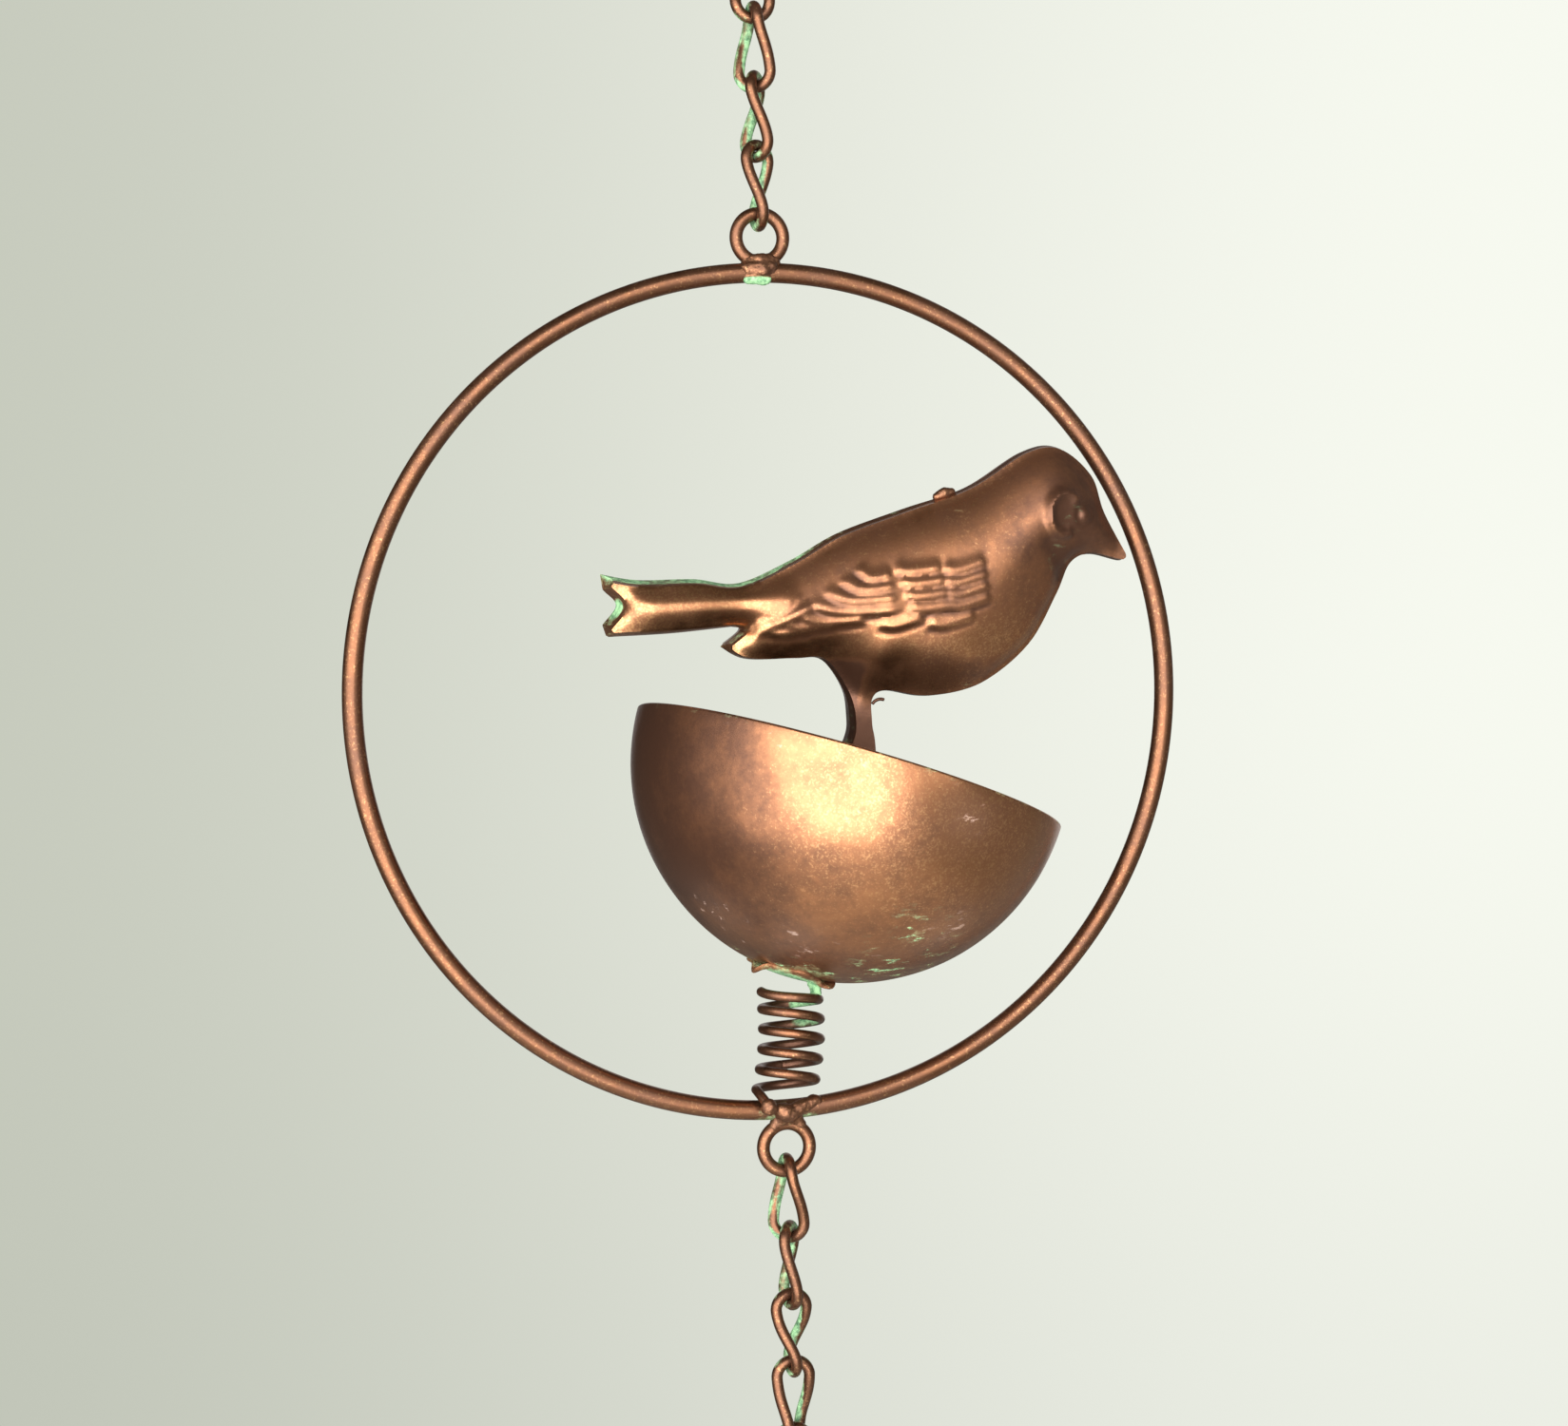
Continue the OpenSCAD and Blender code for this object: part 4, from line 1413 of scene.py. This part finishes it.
        # Dirt and painted shade under the ridges, and below in the cheek hollow, round the eye and
        # in the neck crease.
        grime_and_shade = 2.0 * hollows
        x, z = spots[:, 0], spots[:, 1]
        across, up = (x - self.cheek[0]) / self.cheek_r[0], (z - self.cheek[1]) / self.cheek_r[1]
        turn = np.degrees(np.arctan2(up, across))
        ring = np.hypot(across, up)
        open_side = smooth_ramp(35.0, 62.0, np.abs((turn + 15.0 + 180) % 360 - 180))
        lift += 1.1 * np.exp(-(((ring - 1.0) / 0.24) ** 2)) * open_side
        hollow = np.exp(-((ring / 0.75) ** 2))
        lift -= 0.45 * hollow
        eye = np.hypot(x - self.eye[0], z - self.eye[1])
        lift += 0.45 * np.exp(-((eye / 1.1) ** 4)) - 0.3 * np.exp(-(((eye - 1.9) / 0.45) ** 2))
        groove = np.exp(-((eye / 2.4) ** 4))
        neck = self.neck.lift(spots)[0]
        lift -= neck
        lift -= self.mouth.lift(spots)[0]
        grime_and_shade = np.maximum(grime_and_shade, np.maximum(0.9 * hollow, 0.9 * groove))
        return lift, np.maximum(grime_and_shade, 1.4 * neck)

    def _face(self) -> bmesh.types.BMesh:
        """Flat cells that fill the outline, their rim drawn to an even distance inside it."""
        low, high = self.outline.min(axis=0), self.outline.max(axis=0)
        centre, half = (low + high) / 2, (high - low) / 2
        cells = np.ceil(2 * half / self.cell).astype(int)
        bm = bmesh.new()
        scale = Matrix.Diagonal((half[0], half[1], 1.0, 1.0))
        matrix = Matrix.Translation((centre[0], centre[1], 0.0)) @ scale
        bmesh.ops.create_grid(
            bm, x_segments=int(cells[0]), y_segments=int(cells[1]), size=1.0, matrix=matrix
        )
        spots = np.array([vert.co.xy for vert in bm.verts])
        gap, _, inside = self.to_edge(spots)
        keep = inside & (gap > (self.rim_inset - 0.25) * self.draft(spots))
        bm.verts.index_update()
        waste = [face for face in bm.faces if not all(keep[vert.index] for vert in face.verts)]
        bmesh.ops.delete(bm, geom=waste, context="FACES")
        self._clear_pinches(bm)
        for _ in range(6):
            rim = [vert for vert in bm.verts if vert.is_boundary]
            moved = []
            for vert in rim:
                open_edges = [edge for edge in vert.link_edges if edge.is_boundary]
                sides = [edge.other_vert(vert).co for edge in open_edges]
                moved.append((vert.co * 2 + sides[0] + sides[1]) / 4)
            spots = self.snap(np.array([spot.xy for spot in moved]), self.rim_inset)
            for vert, (x, z) in zip(rim, spots):
                vert.co.xy = (x, z)
        return bm

    @staticmethod
    def _clear_pinches(bm: bmesh.types.BMesh) -> None:
        """Drops cells that hang on by a corner, and islands."""
        while True:
            pinched = [
                vert for vert in bm.verts if sum(edge.is_boundary for edge in vert.link_edges) > 2
            ]
            if not pinched:
                break
            faces = list({face for vert in pinched for face in vert.link_faces})
            bmesh.ops.delete(bm, geom=faces, context="FACES")
        left = set(bm.faces)
        islands = []
        while left:
            queue = [left.pop()]
            island = set(queue)
            while queue:
                for edge in queue.pop().edges:
                    for face in edge.link_faces:
                        if face in left:
                            left.discard(face)
                            island.add(face)
                            queue.append(face)
            islands.append(island)
        islands.sort(key=len)
        for island in islands[:-1]:
            bmesh.ops.delete(bm, geom=list(island), context="FACES")

    def half(self) -> bmesh.types.BMesh:
        """One half as it is stamped, its seam on the XY plane and its face up, in millimetres."""
        bm = self._face()
        verts = bm.verts[:]
        spots = np.array([vert.co.xy for vert in verts])
        gap, _, _ = self.to_edge(spots)
        for vert, height in zip(verts, self.dome(spots, gap)):
            vert.co.z = height
        inner = [vert for vert in verts if not vert.is_boundary]
        relax(bm, inner, self.face_passes, sideways=False)
        lift, _ = self.relief(spots)
        fade = smooth_ramp(0.6, 2.2, gap)
        for vert, rise in zip(verts, lift * fade):
            vert.co.z += rise
        ring = [edge for edge in bm.edges if edge.is_boundary]
        for inset, drop in (*self.wall_rings, (0.0, self.seam - self.edge)):
            fresh, ring = grow_ring(bm, ring)
            flat = self.snap(np.array([vert.co.xy for vert in fresh]), inset)
            if inset == 0.0:
                for corner in self.corners:
                    flat[np.linalg.norm(flat - corner, axis=1).argmin()] = corner
            rims = self.rim_height(flat)
            for vert, (x, z), rim in zip(fresh, flat, rims):
                height = rim + drop * (rim - self.seam) / (self.edge - self.seam)
                vert.co = Vector((x, z, max(height, self.seam)))
        bmesh.ops.triangle_fill(bm, edges=ring, use_beauty=True)
        return bm

    def build(self, shop: Workshop) -> None:
        """Makes both halves and the stray whisker of weld wire."""
        turn = Matrix.Rotation(math.radians(90 + self.lean), 4, "X")
        raise_up = Matrix.Translation((0.0, self.stake_gap, 0.0))
        size = Matrix.Diagonal((MM, MM, MM, 1.0))
        self.place = Matrix.Translation(self.foot) @ size @ turn @ raise_up
        for name, side in (("bird_right_half", 1.0), ("bird_left_half", -1.0)):
            bm = self.half()
            flip = Matrix.Diagonal((1.0, 1.0, side, 1.0))
            bmesh.ops.transform(bm, matrix=self.place @ flip, verts=bm.verts[:])
            place = Place("cup_and_bird", (name,), "copper_sheet")
            shop.publish(bm, name + "_shell", Finish.BIRD, place, self.patina, self.shade)
        self._whisker(shop)

    def _whisker(self, shop: Workshop) -> None:
        """Makes the stray whisker, a short arc of thin wire."""
        points = []
        for step in range(17):
            turn = math.radians(mix(150.0, 65.0, step / 16))
            x = self.whisker[0] + self.whisker_bend * math.cos(turn)
            z = self.whisker[1] + self.whisker_bend * math.sin(turn)
            points.append(self.place @ Vector((x, z, self.edge * 0.6)))
        bm = bmesh.new()
        front = [Vector((0.0, 1.0, 0.0))] * len(points)
        sweep(bm, points, front, self.whisker_r * MM, 12, 0.3)
        place = Place("cup_and_bird", ("weld_whisker",), "weld_metal")
        shop.publish(bm, "whisker", Finish.WELD, place, None, lambda p, n: np.full(len(p), 3.0))

    def _flat(self, places: np.ndarray) -> np.ndarray:
        """Places on the bird's own face: along it, up it, and out from the seam."""
        back = np.array(self.place.inverted())
        return (places * MM) @ back[:3, :3].T + back[:3, 3]

    def patina(self, places: np.ndarray, normals: np.ndarray) -> np.ndarray:
        """Green on the edge walls that face up or left, and in a few hollows."""
        spot = self._flat(places)
        x, z, out = spot[:, 0], spot[:, 1], np.abs(spot[:, 2])
        rim = self.rim_height(spot[:, :2])
        wall = smooth_ramp(rim + 0.1, rim - 0.7, out)
        upward = smooth_ramp(0.25, 0.75, normals[:, 2])
        leftward = smooth_ramp(0.3, 0.8, -normals[:, 0])
        leg = smooth_ramp(58.0, 56.5, z)
        tail = 0.45 + 0.2 * smooth_ramp(-2.0, -14.0, x)
        along_back = tail * upward * smooth_ramp(12.0, 4.0, x)
        green = wall * np.maximum(along_back, leftward * mix(0.42, 0.32, leg))
        green += 0.55 * np.exp(-(((x + 1.0) / 8.0) ** 2) - ((z - 64.3) / 0.7) ** 2) * (x < 9)
        for share, right, high, wide, tall in self.green_spots:
            green += share * np.exp(-(((x - right) / wide) ** 2) - ((z - high) / tall) ** 2)
        green += 0.35 * smooth_ramp(-40.0, -43.0, x) * smooth_ramp(2.5, 0.5, np.abs(z - 66.5))
        return np.clip(green, 0.0, 1.0)

    def shade(self, places: np.ndarray, normals: np.ndarray) -> np.ndarray:
        """Dirt and painted shade in grooves, painted shade on the edge walls and the leg's left
        side, darker on the head, the breast and low on the leg, and a painted highlight on the
        tail and lower body.
        """
        spot = self._flat(places)
        _, groove = self.relief(spot[:, :2])
        x, z, out = spot[:, 0], spot[:, 1], np.abs(spot[:, 2])
        rim = self.rim_height(spot[:, :2])
        face = smooth_ramp(rim - 0.6, rim + 0.2, out)
        head = smooth_ramp(24.0, 36.0, x) * smooth_ramp(66.0, 76.0, z)
        low = smooth_ramp(57.5, 55.0, z)
        # Painted shade on the leg's left-facing wall; the leg is also darker low down.
        leg = low * smooth_ramp(0.2, 0.7, -normals[:, 0]) + 0.55 * smooth_ramp(51.0, 46.0, z)
        # Painted highlight: the tail and the lower body are made lighter.
        tail = smooth_ramp(-12.0, -26.0, x) + smooth_ramp(66.0, 60.0, z) * (1 - low)
        # Painted shade on the edge walls, and dirt with painted shade in the grooves.
        grime_and_shade = 0.65 * groove * face + 0.35 * head + 1.2 * leg + 0.35 * (1 - face)
        return np.clip(grime_and_shade - 0.25 * tail, -0.6, 1.5)


# ---------------------------------------------------------------- stage


@dataclass
class Studio:
    """Camera, lights, surroundings and the pale floor."""

    eye: tuple = (-0.1249, -0.4843, -0.1401)
    azimuth: float = -14.67
    elevation: float = 2.178
    roll: float = -1.695
    lens: float = 65.65
    floor_z: float = -1.5
    floor_r: float = 1.2
    target: tuple = (0.0, 0.0, -0.15)
    # Name, degrees across from the view and above it, distance, width, height and power
    boxes: tuple = (
        ("front_box", -7.0, 0.0, 1.5, 1.9, 2.1, 90.0),
        ("low_box", -7.0, -43.0, 1.5, 1.9, 0.5, 4.5),
        ("left_box", -51.0, 2.0, 1.5, 0.6, 1.9, 17.0),
        ("left_band", -78.0, 6.0, 1.5, 0.4, 1.3, 2.5),
        ("right_band", 42.0, 10.0, 1.5, 0.8, 1.2, 4.0),
        ("back_box", 172.0, 12.0, 1.5, 1.6, 1.4, 5.0),
    )

    def axes(self) -> tuple[Vector, Vector, Vector]:
        """The camera's right, up and back."""
        a, e, r = (math.radians(v) for v in (self.azimuth, self.elevation, self.roll))
        back = Vector((math.sin(a) * math.cos(e), -math.cos(a) * math.cos(e), math.sin(e)))
        right = Vector((math.cos(a), math.sin(a), 0.0))
        up = back.cross(right)
        return (
            math.cos(r) * right + math.sin(r) * up,
            -math.sin(r) * right + math.cos(r) * up,
            back,
        )

    def build(self) -> None:
        """Sets the camera, the lights and the floor."""
        self._camera()
        self._lights()
        self._world()
        self._floor()
        bpy.context.scene.view_settings.view_transform = "Standard"

    def _camera(self) -> None:
        """Places the camera."""
        data = bpy.data.cameras.new("view")
        data.lens = self.lens
        data.sensor_width = 36.0
        data.sensor_fit = "HORIZONTAL"
        data.clip_start, data.clip_end = 0.01, 50.0
        camera = add_object("view", data)
        matrix = Matrix(self.axes()).transposed().to_4x4()
        matrix.translation = Vector(self.eye)
        camera.matrix_world = matrix
        bpy.context.scene.camera = camera

    def _lights(self) -> None:
        """Hangs the soft boxes round the view."""
        for name, across, above, away, wide, tall, power in self.boxes:
            data = bpy.data.lights.new(name, "AREA")
            data.shape = "RECTANGLE"
            data.size, data.size_y = wide, tall
            data.energy = power
            lamp = add_object(name, data)
            turn = math.radians(self.azimuth + across)
            rise = math.radians(above)
            out = Vector(
                (math.sin(turn) * math.cos(rise), -math.cos(turn) * math.cos(rise), math.sin(rise))
            )
            lamp.location = Vector(self.target) + out * away
            lamp.rotation_euler = out.to_track_quat("Z", "Y").to_euler()

    def _world(self) -> None:
        """Pale backdrop with painted light, darker to the left and towards the bottom, and the
        dimmer room that the copper reflects.
        """
        world = bpy.data.worlds.new("room")
        bpy.context.scene.world = world
        world.use_nodes = True
        sh = Shader(world.node_tree)
        way = sh.node("ShaderNodeTexCoord", {}, {}, "Generated")
        right = self.axes()[0]
        across = self._along(sh, way, right)
        above = self._along(sh, way, Vector((0.0, 0.0, 1.0)))
        # Painted light on the backdrop: darker on the left, lighter on the right, and darker
        # towards the bottom.
        left_pale, right_pale = rgb(0.56, 0.585, 0.50), rgb(0.93, 0.95, 0.87)
        pale = sh.blend(across.ramp(-0.33, 0.27), left_pale, right_pale)
        lower = above.ramp(-0.02, -0.34) * 0.16
        backdrop = sh.blend(lower, pale, rgb(0.3, 0.32, 0.28))
        glow = (across.ramp(-0.35, 0.9) * 0.22 + above.ramp(0.1, -0.75) * 0.18 + 0.04).limited()
        room = sh.blend(glow, rgb(0.0, 0.0, 0.0), rgb(0.85, 0.87, 0.80))
        seen = sh.node("ShaderNodeLightPath", {}, {}, "Is Camera Ray")
        light = sh.blend(seen, room, backdrop)
        surface = sh.node("ShaderNodeBackground", {}, {"Color": light, "Strength": 1.0})
        sh.node("ShaderNodeOutputWorld", {}, {"Surface": surface}, None)

    @staticmethod
    def _along(sh: Shader, way: Term, axis: Vector) -> Term:
        """Share of a direction that points along an axis."""
        settings = {"operation": "DOT_PRODUCT"}
        return sh.node("ShaderNodeVectorMath", settings, {0: way, 1: tuple(axis)}, "Value")

    def _floor(self) -> None:
        """Lays the plain pale floor well below."""
        bm = bmesh.new()
        spot = Matrix.Translation((0.0, 0.0, self.floor_z))
        bmesh.ops.create_circle(bm, cap_ends=True, segments=96, radius=self.floor_r, matrix=spot)
        mesh = bpy.data.meshes.new("floor")
        bm.to_mesh(mesh)
        bm.free()
        floor = add_object("floor", mesh)
        material = bpy.data.materials.new("pale_floor")
        material.use_nodes = True
        sh = Shader(material.node_tree)
        grain = sh.noise(sh.object_place(), 3.0, 2.0)
        colour = sh.blend(grain, rgb(0.66, 0.68, 0.62), rgb(0.70, 0.72, 0.66))
        surface = {"Base Color": colour, "Roughness": 0.9}
        shader = sh.node("ShaderNodeBsdfPrincipled", {}, surface)
        sh.node("ShaderNodeOutputMaterial", {}, {"Surface": shader}, None)
        mesh.materials.append(material)


# Each link's number, and how far its upper and its lower bend are turned, in degrees
CHAIN = (
    (1, -90, 0), (2, -90, -37), (3, -120, -62), (4, -145, -88), (5, -90, -38),
    (6, -122, -80), (7, -170, -90), (8, -180, -122), (9, -212, -160),
)


def main() -> None:
    """Builds every sub-assembly and sets the stage."""
    logging.basicConfig(level=logging.INFO, format="%(message)s")
    Studio().build()
    shop = Workshop()
    Hook().build(shop)
    for number, top_turn, low_turn in CHAIN:
        Link(number, top_turn, low_turn).build(shop)
    Hoop().build(shop)
    Welds().build(shop)
    Spring().build(shop)
    Cup().build(shop)
    Bird().build(shop)
    LOG.info("%d pieces made", len(shop.made))


if __name__ == "__main__":
    main()
